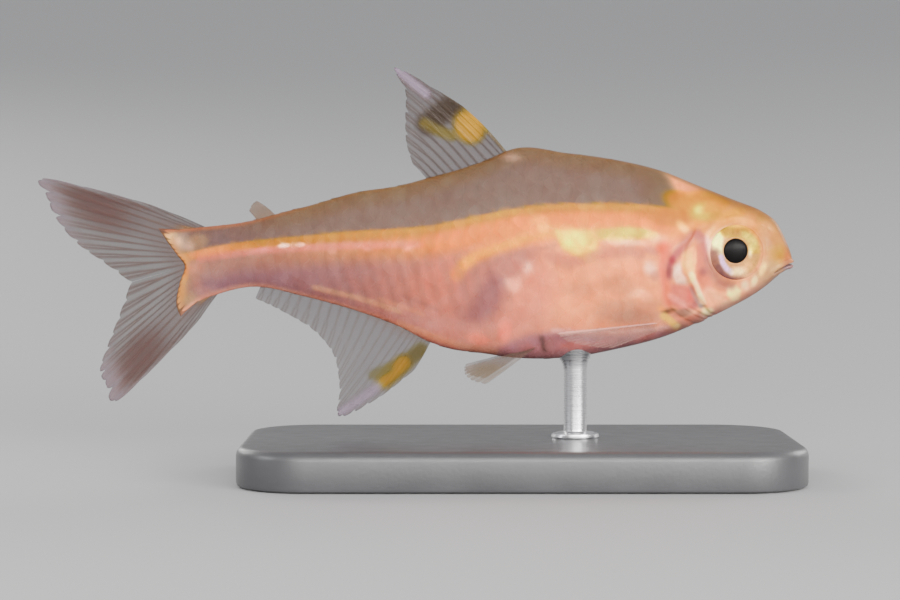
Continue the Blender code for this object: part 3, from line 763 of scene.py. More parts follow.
# %% Marks of the tail
TAIL_MARKS = (
    (oval((19.6, -1.6), (1.5, 1.5)), 0.35, (226, 152, 144), 0.25),
    (oval((19.4, 0.9), (1.2, 0.5), -14), 0.45, (246, 172, 124), 0.35),
    (band(((21.9, -3.0), (23.2, -2.55), (24.6, -2.15), (26.6, -1.70)), 0.15), 0.55, (238, 196, 164), 0.50),
    (band(((20.6, -3.15), (21.8, -2.70), (23.0, -2.30)), 0.11), 0.45, (240, 186, 158), 0.50),
    (band(((19.8, -2.9), (20.8, -2.45), (21.8, -2.10)), 0.10), 0.35, (184, 128, 126), 0.20),
    # painted highlights: small glints along the pink line, and two brighter glints further back
    (oval((21.4, 0.50), (0.30, 0.14), -4), 0.60, (250, 190, 178), 0.80),
    (oval((23.6, 0.46), (0.26, 0.14), 0), 0.50, (246, 184, 172), 0.75),
    (oval((25.6, 0.36), (0.24, 0.16), 0), 0.55, (244, 194, 182), 0.80),
    (oval((28.25, 0.66), (0.34, 0.13), -6), 0.92, (254, 232, 226), 1.00),
    (oval((27.35, 0.70), (0.26, 0.12), -6), 0.88, (254, 222, 212), 1.00),
    (oval((29.4, 0.50), (0.60, 0.12), -2), 0.60, (232, 158, 160), 0.70),
    (oval((32.6, -0.30), (0.90, 0.60), 0), 0.40, (200, 154, 146), 0.30),
    (oval((15.75, 5.55), (0.50, 0.22), 10, 0.9), 0.65, (222, 184, 170), 0.40),
    # the fleshy root of the tail fin
    (oval((33.1, 1.45), (0.62, 0.42), 0), 0.60, (214, 178, 146), 0.45),
    (oval((34.2, 1.75), (0.62, 0.60), 20, 0.9), 0.75, (226, 196, 176), 0.60),
    (oval((34.55, 2.15), (0.30, 0.40), 30, 0.9), 0.60, (206, 166, 124), 0.40),
    (oval((33.7, 1.30), (0.32, 0.24), 0, 0.9), 0.60, (238, 204, 190), 0.60),
    (oval((34.0, 0.90), (0.26, 0.22), 0, 0.9), 0.55, (226, 184, 116), 0.40),
    (oval((34.6, 0.70), (0.36, 0.60), 0), 0.70, (228, 190, 136), 0.40),
    (oval((34.25, -0.55), (0.60, 1.30), 12, 0.9), 0.60, (208, 162, 134), 0.35),
    (oval((34.40, -0.10), (0.22, 0.50), 10, 0.9), 0.60, (222, 176, 112), 0.40),
    (oval((33.6, -0.90), (0.30, 0.55), 0, 0.9), 0.40, (220, 158, 146), 0.40),
    (oval((34.5, -1.95), (0.75, 0.75), 0), 0.65, (204, 168, 134), 0.35),
    (oval((35.0, 2.5), (0.45, 0.6), 20), 0.55, (186, 136, 126), 0.30),
    # cream skin along the flesh edge, also painted light that lifts its shade where the thin edge turns
    # from the lamps
    (band(FLESH_LINE[1:8], 0.34, 0.9), 0.80, (238, 194, 152), 0.35),
    (oval((34.55, 2.30), (0.26, 0.42), 24, 0.9), 0.75, (252, 226, 196), 0.50),
    (oval((34.15, 1.75), (0.22, 0.30), -10, 0.9), 0.70, (248, 214, 190), 0.50),
    (oval((34.30, 0.15), (0.26, 0.42), 10, 0.9), 0.75, (232, 168, 96), 0.20),
    (oval((34.75, -1.00), (0.30, 0.50), 14, 0.9), 0.60, (224, 174, 118), 0.30),
    (oval((33.55, 0.10), (0.60, 0.34), 0, 0.9), 0.60, (232, 176, 160), 0.40),
    (oval((33.2, -1.35), (0.60, 0.30), 0, 0.9), 0.50, (214, 160, 150), 0.35),
)


def lay_marks(look, back, up, marks):
    for brush, strength, colour, shine in marks:
        wash(look, strength * brush(back, up), colour, shine)


print(len(TAIL_MARKS), "marks on the tail")

# %% [markdown]
# ### Marks of the head
#
# The head is the busiest part: a bright yellow nape with a painted highlight, a tan snout, a mauve
# arch over the gill cover darkened by painted shade of the gill opening, red gills glowing through
# its edge, and cream bone brightened by painted highlights.

# %% Marks of the skull and the snout
NAPE_MARKS = (
    (oval((3.0, 2.7), (3.0, 1.6), -24), 0.80, (226, 174, 120), 0.15),
    (oval((0.9, 0.9), (1.2, 1.2), 40), 0.85, (220, 176, 130), 0.20),
    (oval((1.5, -1.15), (1.1, 0.75), -35), 0.80, (218, 182, 150), 0.35),
    (oval((2.6, 2.0), (0.7, 0.45), -20), 0.45, (240, 190, 150), 0.35),
    (oval((1.55, 1.6), (0.6, 0.4), -40), 0.45, (230, 184, 150), 0.35),
    (oval((1.9, 2.2), (0.35, 0.20), -35), 0.40, (206, 172, 118), 0.30),
    (oval((6.9, 2.25), (1.6, 0.50), 4), 0.90, (236, 174, 40), 0.04),
    (oval((6.4, 3.10), (0.90, 0.50), 18), 0.90, (236, 176, 40), 0.04),
    (oval((5.5, 3.00), (1.35, 0.56), -10), 0.92, (239, 186, 36), 0.04),
    # golden skin; its brightest yellow, in the middle of the nape, is a painted highlight
    (oval((5.10, 2.52), (0.78, 0.52), -12, 0.5), 0.97, (245, 222, 36), 0.04),
    (oval((5.30, 2.62), (0.34, 0.22), 0), 0.85, (252, 238, 76), 0.06),
    (oval((4.48, 2.32), (0.36, 0.26), 0), 0.94, (240, 200, 26), 0.04),
    (oval((4.40, 2.90), (0.80, 0.36), -20), 0.70, (242, 192, 80), 0.08),
    (oval((3.55, 2.35), (0.85, 0.34), -18), 0.65, (240, 194, 112), 0.20),
    (oval((6.28, 1.66), (0.42, 0.22), 44, 0.7), 0.80, (254, 224, 172), 0.40),
    (oval((5.5, 1.85), (0.55, 0.24), 0), 0.40, (250, 198, 160), 0.40),
    # snout and lips
    (oval((1.13, -0.47), (0.45, 0.30), 30), 0.50, (218, 188, 144), 0.35),
    (oval((1.55, -0.20), (0.35, 0.30), 30), 0.50, (228, 194, 154), 0.40),
    (oval((0.86, 0.20), (0.50, 0.42), 20, 0.9), 0.75, (214, 170, 92), 0.25),
    (oval((0.30, 0.10), (0.24, 0.50), 16, 0.9), 0.55, (220, 142, 112), 0.25),
    (oval((0.30, -0.50), (0.30, 0.14), -20), 0.85, (206, 196, 208), 0.70),
    (oval((0.85, -0.92), (0.45, 0.14), -38), 0.45, (214, 190, 160), 0.50),
)

# %% Marks round the eye and on the gill cover
ARCH = ((7.05, -0.95), (7.02, -0.45), (6.85, 0.0), (6.50, 0.42), (6.15, 0.88), (5.80, 1.22),
        (5.50, 1.28), (5.20, 1.02), (5.00, 0.60), (4.90, 0.10))
PLATE = ((5.72, 0.66), (6.00, 0.52), (6.36, 0.18), (6.42, -0.35), (6.22, -0.82), (5.92, -1.06),
         (5.66, -0.72), (5.56, -0.10), (5.60, 0.45))
SILVER = ((6.46, -0.15), (6.82, -0.45), (6.88, -1.00), (6.66, -1.42), (6.20, -1.45), (6.05, -1.12),
          (6.34, -0.80))
CHEEK_LINE = ((5.86, -0.90), (5.66, -1.30), (5.38, -1.90), (5.10, -2.48))
FACE_MARKS = (
    (oval((3.9, -2.5), (2.2, 0.80), -28), 0.75, (250, 204, 176), 0.30),
    (oval((5.6, -3.6), (1.5, 0.42), -26), 0.75, (204, 152, 142), 0.25),
    (band(((7.22, 0.20), (7.34, -0.60), (7.20, -1.60), (7.05, -2.40)), 0.24), 0.65, (238, 148, 132), 0.20),
    (area(((5.60, 0.95), (5.10, 0.60), (4.82, -0.40), (4.60, -1.60), (5.00, -1.90), (5.50, -1.40),
           (5.58, -0.50)), 0.24), 0.85, (226, 150, 136), 0.20),
    (oval((5.16, -0.76), (0.20, 0.22), 0, 0.8), 0.65, (186, 116, 120), 0.15),
    (oval((5.02, -1.60), (0.34, 0.50), 12, 0.8), 0.60, (246, 184, 158), 0.30),
    # the mauve arch and the dark red at the gill cover's edge: mauve skin and red gills, darkened as
    # painted shade of the gill opening
    (band(ARCH, 0.26, 0.8), 0.75, (212, 140, 138), 0.20),
    (band(ARCH[6:9], 0.20, 0.8), 0.60, (206, 124, 124), 0.18),
    (band(ARCH[:4], 0.15, 0.8), 0.55, (206, 120, 128), 0.20),
    (oval((6.90, -0.12), (0.17, 0.24), 20, 0.7), 0.75, (198, 86, 104), 0.20),
    (oval((7.06, -0.72), (0.14, 0.34), 0, 0.8), 0.70, (176, 104, 108), 0.15),
    # the cream plate and the silver patch of the gill cover: bone and silver, brightened by painted
    # highlights
    (area(PLATE, 0.09), 0.94, (255, 214, 170), 0.30),
    (area(SILVER, 0.11), 0.85, (244, 214, 202), 0.60),
    (oval((6.60, -0.72), (0.16, 0.26), 20, 0.7), 0.60, (252, 234, 224), 0.70),
    (oval((6.20, -1.40), (0.30, 0.16), -10, 0.8), 0.60, (222, 196, 180), 0.35),
    (oval((5.72, 0.30), (0.08, 0.45), 6, 0.8), 0.40, (236, 178, 150), 0.30),
    # below the plate: gills glow red, a brown nick, yellow skin at the fin's root with a painted glint
    (area(((6.95, -1.40), (6.00, -1.50), (5.70, -1.55), (5.45, -2.30), (5.50, -2.80), (6.30, -2.90),
           (7.00, -2.50)), 0.20), 0.85, (226, 148, 142), 0.25),
    (oval((5.78, -1.95), (0.20, 0.40), 16, 0.8), 0.65, (228, 122, 122), 0.25),
    (oval((5.52, -2.52), (0.18, 0.26), 20, 0.8), 0.60, (196, 122, 130), 0.25),
    (band(((6.95, -2.10), (6.55, -2.36), (6.15, -2.64)), 0.17, 0.9), 0.65, (244, 190, 180), 0.40),
    (oval((6.25, -3.05), (0.50, 0.24), -6), 0.65, (180, 140, 132), 0.25),
    # painted shadow: a grey band behind the cheek bone's cream line, greyest at its lower end
    (band(((5.82, -1.70), (5.56, -2.20), (5.28, -2.66)), 0.11, 0.9), 0.55, (184, 158, 152), 0.25),
    (oval((5.18, -2.66), (0.14, 0.14), 0, 0.8), 0.70, (160, 150, 158), 0.30),
    (band(CHEEK_LINE, 0.15), 0.94, (255, 232, 206), 0.45),
    (oval((5.78, -1.05), (0.14, 0.26), 24, 0.7), 0.80, (255, 236, 190), 0.40),
    (oval((4.84, -3.00), (0.32, 0.27), -10, 0.5), 0.97, (255, 250, 214), 0.50),
    (oval((5.65, -3.32), (0.40, 0.18), -16), 0.70, (214, 140, 126), 0.25),
    (oval((4.12, -3.12), (0.22, 0.14), -30), 0.60, (222, 122, 118), 0.30),
    (oval((7.45, -2.80), (0.22, 0.16), 0, 0.8), 0.75, (248, 192, 138), 0.40),
    (oval((7.02, -2.94), (0.32, 0.13), -12, 0.6), 0.85, (134, 94, 72), 0.12),
    # yellow skin at the breast fin's root, with a painted glint on it
    (band(((7.30, -3.22), (6.95, -3.45), (6.52, -3.86)), 0.19), 0.85, (246, 218, 148), 0.35),
    (oval((6.52, -3.84), (0.18, 0.14), -30, 0.7), 0.80, (254, 238, 190), 0.50),
    # cheek
    (band(((4.85, -1.90), (4.30, -2.35), (3.80, -2.75)), 0.30), 0.60, (252, 214, 190), 0.40),
    (oval((4.20, -1.55), (0.50, 0.24), 26), 0.60, (224, 156, 136), 0.20),
    (area(((3.75, -1.62), (3.30, -1.50), (2.98, -1.80), (3.05, -2.35), (3.45, -2.42), (3.82, -2.05)), 0.13),
     0.94, (255, 242, 200), 0.40),
    (oval((2.80, -1.52), (0.22, 0.30), -20, 0.7), 0.90, (255, 232, 210), 0.40),
    # painted highlights: two cream glints below and before the eye
    (oval((2.26, -1.32), (0.20, 0.34), 8, 0.6), 0.92, (255, 236, 204), 0.40),
    (oval((1.80, -0.66), (0.20, 0.40), 24, 0.6), 0.90, (255, 232, 186), 0.35),
    (oval((1.30, -0.70), (0.30, 0.40), 30, 0.9), 0.50, (216, 180, 146), 0.25),
    (oval((2.45, -1.95), (0.50, 0.16), -38, 0.9), 0.55, (232, 188, 176), 0.40),
    # ring of skin round the eye: painted shade under and behind it, paler skin above and behind
    (band(((4.86, -0.20), (4.66, -0.80), (4.20, -1.32), (3.60, -1.52)), 0.22, 1.0),
     0.60, (192, 134, 130), 0.20),
    (oval((4.86, 0.78), (0.20, 0.52), -6, 0.8), 0.80, (252, 226, 218), 0.50),
    (band(((4.80, 1.30), (4.20, 1.90), (3.30, 2.06), (2.50, 1.88)), 0.20), 0.60, (250, 208, 156), 0.25),
)
MARKS = BELLY_MARKS + TAIL_MARKS + NAPE_MARKS + FACE_MARKS
print(len(MARKS), "marks in all")


# %% The whole look
MUSCLE_LENGTH, MUSCLE_SLANT, MUSCLE_DARK = 0.80, 0.28, 0.055
# size, strength, seed
BLOTCHES = ((0.95, 0.026, 1), (0.42, 0.030, 2), (0.20, 0.020, 3))
WARM_SHIFT = np.array((0.3, 1.0, 1.2))


def markings(back, up, angle):
    """The look of the body at any place: three screen colours and a shine."""
    look = ground(back, up)
    lay_marks(look, back, up, MARKS)
    above, below = np.sin(angle) > 0, np.sin(angle) < 0
    top_gap, low_gap = profile(TOP, back) - up, up - profile(BOTTOM, back)
    edge = soft_fall(0.05, 0.30, top_gap) * soft_step(1.5, 5.0, back)
    wash(look, 0.60 * edge * above, (176, 128, 92), 0.20)
    brow = soft_fall(0.10, 0.75, top_gap) * soft_fall(3.5, 6.5, back) * above
    wash(look, 0.65 * brow, (178, 124, 84), 0.20)
    wash(look, 0.7 * edge * soft_step(26.0, 31.0, back) * above, (206, 142, 124), 0.30)
    breast = soft_fall(0.05, 0.80, low_gap) * soft_fall(16.0, 21.0, back) * below
    wash(look, 0.55 * breast, (158, 118, 120), 0.25)
    # lighter along the low edge of the tail: its peach colour, and painted light that lifts the shade of
    # the faces turned down
    keel = soft_fall(0.05, 0.35, low_gap) * soft_step(20.0, 22.0, back)
    wash(look, 0.75 * keel * below, (238, 186, 170), 0.35)
    bars = 0.5 - 0.5 * np.cos(2 * math.pi * (back + MUSCLE_SLANT * np.abs(up)) / MUSCLE_LENGTH)
    zone = oval((21.8, -1.1), (4.8, 2.2), 6, 0.6)(back, up)
    look[..., :3] *= (1 - MUSCLE_DARK * bars * zone)[..., None]
    for size, strength, seed in BLOTCHES:
        look[..., :3] *= 1 + strength * blotches(back, up, size, seed)[..., None] * WARM_SHIFT
    return look


sample = markings(np.array([12.0]), np.array([-1.5]), np.array([0.2]))
print("mid belly:", sample.round(2))

# %% [markdown]
# ## The skin
#
# One closed grid from the snout to the flesh over the tail fin. Its columns come in three runs:
# the head as far as the gill edge, a few columns that roll down over that edge into a groove
# and out of it again, and the trunk. The roll is a small profile of its own, in steps along and
# out. Above the gill opening it flattens away, because there head and trunk are one. At the far
# end left and right side share their last points, so the shell is closed.

# %% Columns of the skin
HEAD_COLUMNS, TRUNK_COLUMNS = 150, 250
HEAD_CROWDING = 1.6                       # the power that crowds columns at the snout
HEAD_STOP, ROLL_REACH = 0.48, 0.42        # the head's last column and the roll, off the gill edge

# along, and out as a share of how proud the gill cover stands
ROLL = np.array((
    (-0.42, 0.90), (-0.30, 0.90), (-0.19, 0.84), (-0.10, 0.68), (-0.03, 0.42), (0.02, 0.10),
    (0.06, -0.16), (0.10, -0.34), (0.15, -0.44), (0.21, -0.38), (0.27, -0.22), (0.34, -0.08),
    (0.42, 0.0),
))


def shares(count):
    """Even steps up to 1, one for each column of a run."""
    return (np.arange(1, count + 1) / count)[:, None]


roll_open = soft_fall(0.75, 1.55, section(gill_edge, angles)[..., 2])
roll_flat = np.linspace(-ROLL_REACH, ROLL_REACH, len(ROLL))[:, None]
roll_steps = ROLL[:, :1] * roll_open + roll_flat * (1 - roll_open)
head_run = shares(HEAD_COLUMNS) ** HEAD_CROWDING * (gill_edge - HEAD_STOP)
trunk_length = flesh_edge - gill_edge - ROLL_REACH
trunk_run = gill_edge + ROLL_REACH + shares(TRUNK_COLUMNS) * trunk_length
backs = np.vstack([head_run, gill_edge + roll_steps, trunk_run])
turns = np.broadcast_to(angles, backs.shape)
ups = section(backs, turns)[..., 2]
facing = np.abs(np.cos(turns))
print("skin grid:", backs.shape[0], "columns of", AROUND, "points")

# %% Heights of the skin
SOCKET_INNER, SOCKET_OUTER, SOCKET_DEPTH = 0.10, 0.20, 0.55
SEGMENT_LENGTH, SEGMENT_RISE, SEGMENT_SLANT = 0.74, 0.006, 0.32

lifts = head_relief(backs, ups, facing)
lifts *= 1 - soft_step(6.0, 7.2, backs) * (ups > GILL_TOP)
rolled, trunk = slice(HEAD_COLUMNS, -TRUNK_COLUMNS), slice(-TRUNK_COLUMNS, None)
lifts[rolled] = GILL_PROUD * ROLL[:, 1:] * roll_open
segments = np.cos(2 * math.pi * (backs + SEGMENT_SLANT * np.abs(ups - TAIL_AXIS_UP)) / SEGMENT_LENGTH)
lifts[trunk] = (SEGMENT_RISE * segments * facing)[trunk]
lifts[trunk] *= np.clip((backs[trunk] - gill_edge - ROLL_REACH) / 0.5, 0, 1)
lifts[trunk] *= np.clip((flesh_edge - backs[trunk]) / 1.5, 0, 1)
inside = soft_fall(EYE_RADIUS - SOCKET_INNER, EYE_RADIUS + SOCKET_OUTER, to_eye(backs, ups))
lifts -= SOCKET_DEPTH * inside * (facing > 0.3)
print("the skin rises to", lifts.max().round(3), "and sinks to", lifts.min().round(3), "mm")

# %% [markdown]
# ### Wet skin
#
# Living fish skin is clear mucus over pigment over silver. The gloss is a thin even coat. The
# pigment is the painted look, broken up by a fine grain. Silver areas are smoother and slightly
# metallic, and flecked, because the silver is thousands of tiny plates. Light sinks in a little
# everywhere, which softens the flesh.


# %% Material helpers
def new_material(name):
    made = bpy.data.materials.new(name)
    made.use_nodes = True
    return made, made.node_tree, made.node_tree.nodes["Principled BSDF"]


def feed(tree, socket, value):
    """Links another node's output to a socket, or sets the socket to a plain value."""
    if isinstance(value, bpy.types.NodeSocket):
        tree.links.new(value, socket)
    else:
        socket.default_value = value


def set_sockets(tree, node, **values):
    for name, value in values.items():
        feed(tree, node.inputs[name.replace("_", " ")], value)


def add_node(tree, kind, output, settings=(), **values):
    """A shader node with its settings and sockets; what comes back is its output."""
    made = tree.nodes.new("ShaderNode" + kind)
    for name, value in dict(settings).items():
        setattr(made, name, value)
    set_sockets(tree, made, **values)
    return made.outputs[output]


def painted(tree, layer, output="Fac"):
    """What is painted on the points in that layer."""
    return add_node(tree, "Attribute", output, {"attribute_name": layer})


def spread(tree, value, low, high, least=0.0, most=1.0):
    """A value from least to most, spread between low and high."""
    return add_node(tree, "MapRange", "Result", Value=value, From_Min=least, From_Max=most,
                    To_Min=low, To_Max=high)


def grain(tree, scale, low, high, detail=3.0):
    """Noise on the object's own coordinates, spread between two values."""
    where = add_node(tree, "TexCoord", "Object")
    noise = add_node(tree, "TexNoise", "Fac", Vector=where, Scale=scale, Detail=detail)
    return spread(tree, noise, low, high, 0.3, 0.7)


def times(tree, colour, value):
    """A colour made darker or lighter by a value."""
    return add_node(tree, "VectorMath", 0, {"operation": "SCALE"}, Vector=colour, Scale=value)


def product(tree, one, other):
    """One value times another, or times a number."""
    made = tree.nodes.new("ShaderNodeMath")
    made.operation = "MULTIPLY"
    feed(tree, made.inputs[0], one)
    feed(tree, made.inputs[1], other)
    return made.outputs[0]


def raised(tree, height, strength, distance):
    return add_node(tree, "Bump", "Normal", Strength=strength, Distance=distance, Height=height)


# %% Skin material
SHINE_METAL = 0.30


def wet_skin(name, sunk_light, fleck, bump, cover=1.0):
    """Pigment from the painted look, silver by its shine, and a wet coat."""
    made, tree, shader = new_material(name)
    shine = painted(tree, "shine")
    colour = times(tree, painted(tree, "look", "Color"), grain(tree, 1500, 0.93, 1.07))
    where = add_node(tree, "TexCoord", "Object")
    flecks = add_node(tree, "TexVoronoi", "Color", Vector=where, Scale=fleck)
    lit = spread(tree, product(tree, flecks, shine), 0.96, 1.22)
    set_sockets(
        tree, shader, Base_Color=times(tree, colour, lit), Metallic=product(tree, shine, SHINE_METAL),
        Roughness=spread(tree, shine, 0.46, 0.24), Specular_IOR_Level=0.08,
        Normal=raised(tree, grain(tree, 3800, 0.0, 1.0), 0.25, bump),
        Coat_Weight=spread(tree, shine, 0.0, 0.20), Coat_Roughness=0.12,
        Subsurface_Weight=sunk_light, Subsurface_Radius=(1.0, 0.45, 0.30), Subsurface_Scale=0.0005)
    if cover < 1:
        set_sockets(tree, shader, Alpha=grain(tree, 2400, cover - 0.05, cover + 0.05))
    return made


skin_material = wet_skin("golden_skin", 0.22, 5200, 0.000012)
print("skin material with", len(skin_material.node_tree.nodes), "nodes")


# %% Make the skin
def close_flesh_edge(faces, rows):
    """Gives the last column's right points the numbers of its left ones, so that it closes."""
    point = np.arange(AROUND)
    mirror = (AROUND // 2 - point) % AROUND
    same = np.arange(rows * AROUND + 1)
    same[(rows - 1) * AROUND + point] = (rows - 1) * AROUND + np.minimum(point, mirror)
    return same[faces]


snout_tip = section(np.array(0.0), 0.0)
rows = backs.shape[0]
skin_points = np.vstack([place(on_skin(backs, turns, lifts)).reshape(-1, 3), place(snout_tip)])
skin_faces = np.vstack([grid_faces(rows, AROUND), fan(rows * AROUND, np.arange(AROUND)[::-1])])
skin_faces = close_flesh_edge(skin_faces, rows)
skin, used = make_piece("skin", skin_points, skin_faces, skin_material)

skin_look = markings(backs, ups, turns)
# painted shade in the slit of the mouth
slit_shade = hill(to_line(backs, ups, MOUTH), 0.07) * soft_fall(0.9, 1.15, backs)
wash(skin_look, 0.8 * slit_shade, (92, 50, 48), 0.1)
# pink skin rolled under the gill cover's edge, laid lighter as painted light that eases the shade of the
# groove
under_cover = np.zeros_like(backs)
under_cover[rolled] = np.clip(0.2 - ROLL[:, 1:], 0, 1) * roll_open
wash(skin_look, 0.65 * under_cover, (234, 156, 140), 0.2)
skin_look = np.vstack([skin_look.reshape(-1, 4), skin_look[0].mean(axis=0)[None]])
paint_look(skin, used, skin_look)
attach(skin, "root")
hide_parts("head", "trunk", "tail")
print("skin:", triangles_of(skin), "triangles")

# %% [markdown]
# ## Scales
#
# Scales are thin round plates that lie like roof tiles: each root is tucked under the plate
# before it, each free edge lies over the next root. They sit in slanting rows, so every second
# column is shifted by half a row. Rows keep their width over the body and run out at the back
# and the belly. For that, places are counted along the skin itself: q is the way round from the
# widest level, and a table turns it back into an angle.

# %% The way round the body
Q_BACKS = np.linspace(4.5, 35.2, 240)
Q_STEPS = np.linspace(-1.9, 1.9, 241)
ring = section(Q_BACKS[:, None], Q_STEPS[None, :])
steps_round = np.linalg.norm(np.diff(ring, axis=1, prepend=ring[:, :1])[..., 1:], axis=-1)
way_round = np.cumsum(steps_round, axis=1)
way_round -= way_round[:, [len(Q_STEPS) // 2]]
Q_REACH = np.linspace(-9.5, 9.5, 381)
turn_table = np.stack([np.interp(Q_REACH, row, Q_STEPS) for row in way_round])
top_way, low_way = (np.array([np.interp(turn, Q_STEPS, row) for row in way_round])
                    for turn in (math.pi / 2, -math.pi / 2))


def cell_of(values, at):
    """The number of the step of an even row of values that holds a place, and the share past it."""
    steps = np.clip((at - values[0]) / (values[1] - values[0]), 0, len(values) - 1.001)
    return steps.astype(int), steps - steps.astype(int)


def turn_at(back, q):
    """The angle at a way q round the body, read from the table between its four neighbours."""
    (i, a), (j, b) = cell_of(Q_BACKS, back), cell_of(Q_REACH, q)
    near = turn_table[i, j] * (1 - b) + turn_table[i, j + 1] * b
    far = turn_table[i + 1, j] * (1 - b) + turn_table[i + 1, j + 1] * b
    return near * (1 - a) + far * a


print("half round the body at 13 mm:", np.interp(13, Q_BACKS, top_way - low_way).round(2), "mm")

# %% Where the scales sit
SCALE_COLUMNS = 37
FIRST_SCALE, LAST_SCALE = 6.2, 34.0
ROWS_EACH_WAY = 9
SCALE_SHRINK = 0.20                       # the first spacing over the mean, the last under it
ROW_LEAST, ROW_GROWTH = 0.55, 0.042       # a row's width, and what it gains with the depth
# left free: along the midlines in rows, behind the gill edge and before the flesh edge in mm
MIDLINE_FREE, GILL_FREE, FLESH_FREE = 0.30, 0.34, 0.35

order = np.arange(SCALE_COLUMNS)[:, None]
share = order / (SCALE_COLUMNS - 1)
scaled = LAST_SCALE - FIRST_SCALE
root_back = FIRST_SCALE + scaled * ((1 + SCALE_SHRINK) * share - SCALE_SHRINK * share ** 2)
spacing = scaled * (1 + SCALE_SHRINK - 2 * SCALE_SHRINK * share) / (SCALE_COLUMNS - 1)
depth = profile(TOP, root_back) - profile(BOTTOM, root_back)
row_width = ROW_LEAST + ROW_GROWTH * depth
row_number = np.arange(-ROWS_EACH_WAY, ROWS_EACH_WAY + 1)[None, :] + 0.5 * (order % 2)
root_q = row_number * row_width
root_back, spacing, row_width = np.broadcast_arrays(root_back, spacing, row_width, root_q)[:3]
root_turn = turn_at(root_back, root_q)
root_up = section(root_back, root_turn)[..., 2]
keep = root_q < np.interp(root_back, Q_BACKS, top_way) - MIDLINE_FREE * row_width
keep &= root_q > np.interp(root_back, Q_BACKS, low_way) + MIDLINE_FREE * row_width
keep &= root_back > line_back(GILL_LINE, root_up) + GILL_FREE
keep &= root_back + 1.5 * spacing < line_back(FLESH_LINE, root_up) - FLESH_FREE
seats = np.stack([x[keep] for x in (root_back, root_q, spacing, row_width)], axis=-1)
print("scales on each side:", len(seats))

# %% [markdown]
# ### One scale, many times
#
# A scale is a sheet of five by five points: an outer face and an inner one. Across it goes s
# from -1 to 1, along it t from 0 to 1. The free edge is round, as it falls back by s squared;
# the face rises from root to edge and is a little crowned. All the scales of a side are worked
# out at once and joined in one mesh.

# %% Shape of the scales
ALONG = ACROSS = 5
SCALE_LENGTH, SCALE_WIDTH = 1.72, 0.60     # in spacings, and half a row either way
SCALE_ROUND = 0.42                         # how far its corners lie before its middle, in rows
ROOT_SINK, EDGE_RISE, CROWN = -0.034, 0.022, 0.012
SCALE_THICK, SCALE_THINNING, SIDE_TUCK = 0.016, 0.55, 0.010
PATCH = 0.003                              # its size on the unwrap of the skin
UNWRAP_BACK, UNWRAP_ROUND, UNWRAP_SIDE = 40, 80, 0.12

s, t = np.meshgrid(np.linspace(-1, 1, ACROSS), np.linspace(0, 1, ALONG))


def scale_points(seats, hand, varied):
    """Back, angle and lift of every scale's points, as arrays of scale, face, t and s."""
    back0, q0, step, width = (seats[:, k][:, None, None] for k in range(4))
    bulge = SCALE_ROUND * width * s ** 2 * t ** 2
    back = back0 + SCALE_LENGTH * step * t - bulge
    q = q0 + SCALE_WIDTH * width * s * (0.80 + 0.20 * np.sin(math.pi * t)) * varied
    turn = turn_at(back, q)
    lift = ROOT_SINK + (EDGE_RISE - ROOT_SINK) * t ** 0.8 + CROWN * (1 - s ** 2) * t
    lift = lift - SIDE_TUCK * np.abs(s) ** 3
    inner = lift - SCALE_THICK * (1 - SCALE_THINNING * t)
    lifts = np.stack([np.broadcast_to(lift, turn.shape), np.broadcast_to(inner, turn.shape)], 1)
    turn = turn if hand > 0 else math.pi - turn
    return np.broadcast_to(back[:, None], lifts.shape), np.broadcast_to(turn[:, None], lifts.shape), lifts


print("one scale has", len(sheet_faces(ALONG, ACROSS)), "faces")

# %% Make the scales
scale_material = wet_skin("scale_skin", 0.0, 6000, 0.000008, cover=0.30)
draw = np.random.default_rng(7)
WIDTH_VARIES, SHADE_VARIES = 0.05, 0.014
EDGE_LIGHTER, EDGE_SHINE = 0.02, 0.12


def make_scales(name, hand):
    varied = 1 + WIDTH_VARIES * draw.standard_normal((len(seats), 1, 1))
    back, turn, lift = scale_points(seats, hand, varied)
    points = place(on_skin(back, turn, lift))
    start = np.arange(len(seats))[:, None, None] * (2 * ALONG * ACROSS)
    faces = (sheet_faces(ALONG, ACROSS)[None] + start).reshape(-1, 4)
    piece, used = make_piece(name, points, faces, scale_material, crease=50)
    up = section(back, turn)[..., 2]
    look = markings(back, up, turn)
    shade = 1 + SHADE_VARIES * draw.standard_normal((len(seats), 1, 1, 1))
    free_edge = soft_step(0.80, 1.0, t) * np.ones_like(back)
    look[..., :3] *= (shade * (1 + EDGE_LIGHTER * free_edge))[..., None]
    look[..., 3] = np.clip(look[..., 3] + EDGE_SHINE * free_edge + 0.05, 0, 1)
    paint_look(piece, used, look)
    root_back, root_q = (seats[:, k][:, None, None, None] for k in range(2))
    u = root_back / UNWRAP_BACK + PATCH * (t - 0.5) + np.zeros_like(back)
    v = 0.25 + UNWRAP_SIDE * hand + root_q * hand / UNWRAP_ROUND + PATCH * 0.5 * s
    lay_out(piece, used, u, v + np.zeros_like(back))
    piece.visible_shadow = False
    piece.visible_diffuse = False
    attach(piece, "root")
    print(name, triangles_of(piece), "triangles")


make_scales("right_scales", -1)
make_scales("left_scales", 1)

# %% [markdown]
# ## Rims of the eye sockets
#
# A tetra has no eyelid. The eyeball stands in a round opening, and thin clear skin meets it in
# a low rim. The skin grid is too square for a clean circle, so the rim is its own ring: a closed
# profile carried round the eye's centre, riding on the surface of the head.


# %% Flank points and the tilt of the eye
def flank_point(back, up, hand, lift=0.0):
    """A point of the head's plain side at a place in the side view, on one hand."""
    turn = side_angle(back, up)
    return on_skin(back, turn if hand > 0 else math.pi - turn, lift)


EYE_SEAT = 1.66          # the eye's edge, from the middle of the head
EYE_SLANT = 0.205        # how much further out per mm to the rear
EYE_BULGE = 0.27


def eye_plane(back):
    return EYE_SEAT + EYE_SLANT * (back - EYE_BACK)


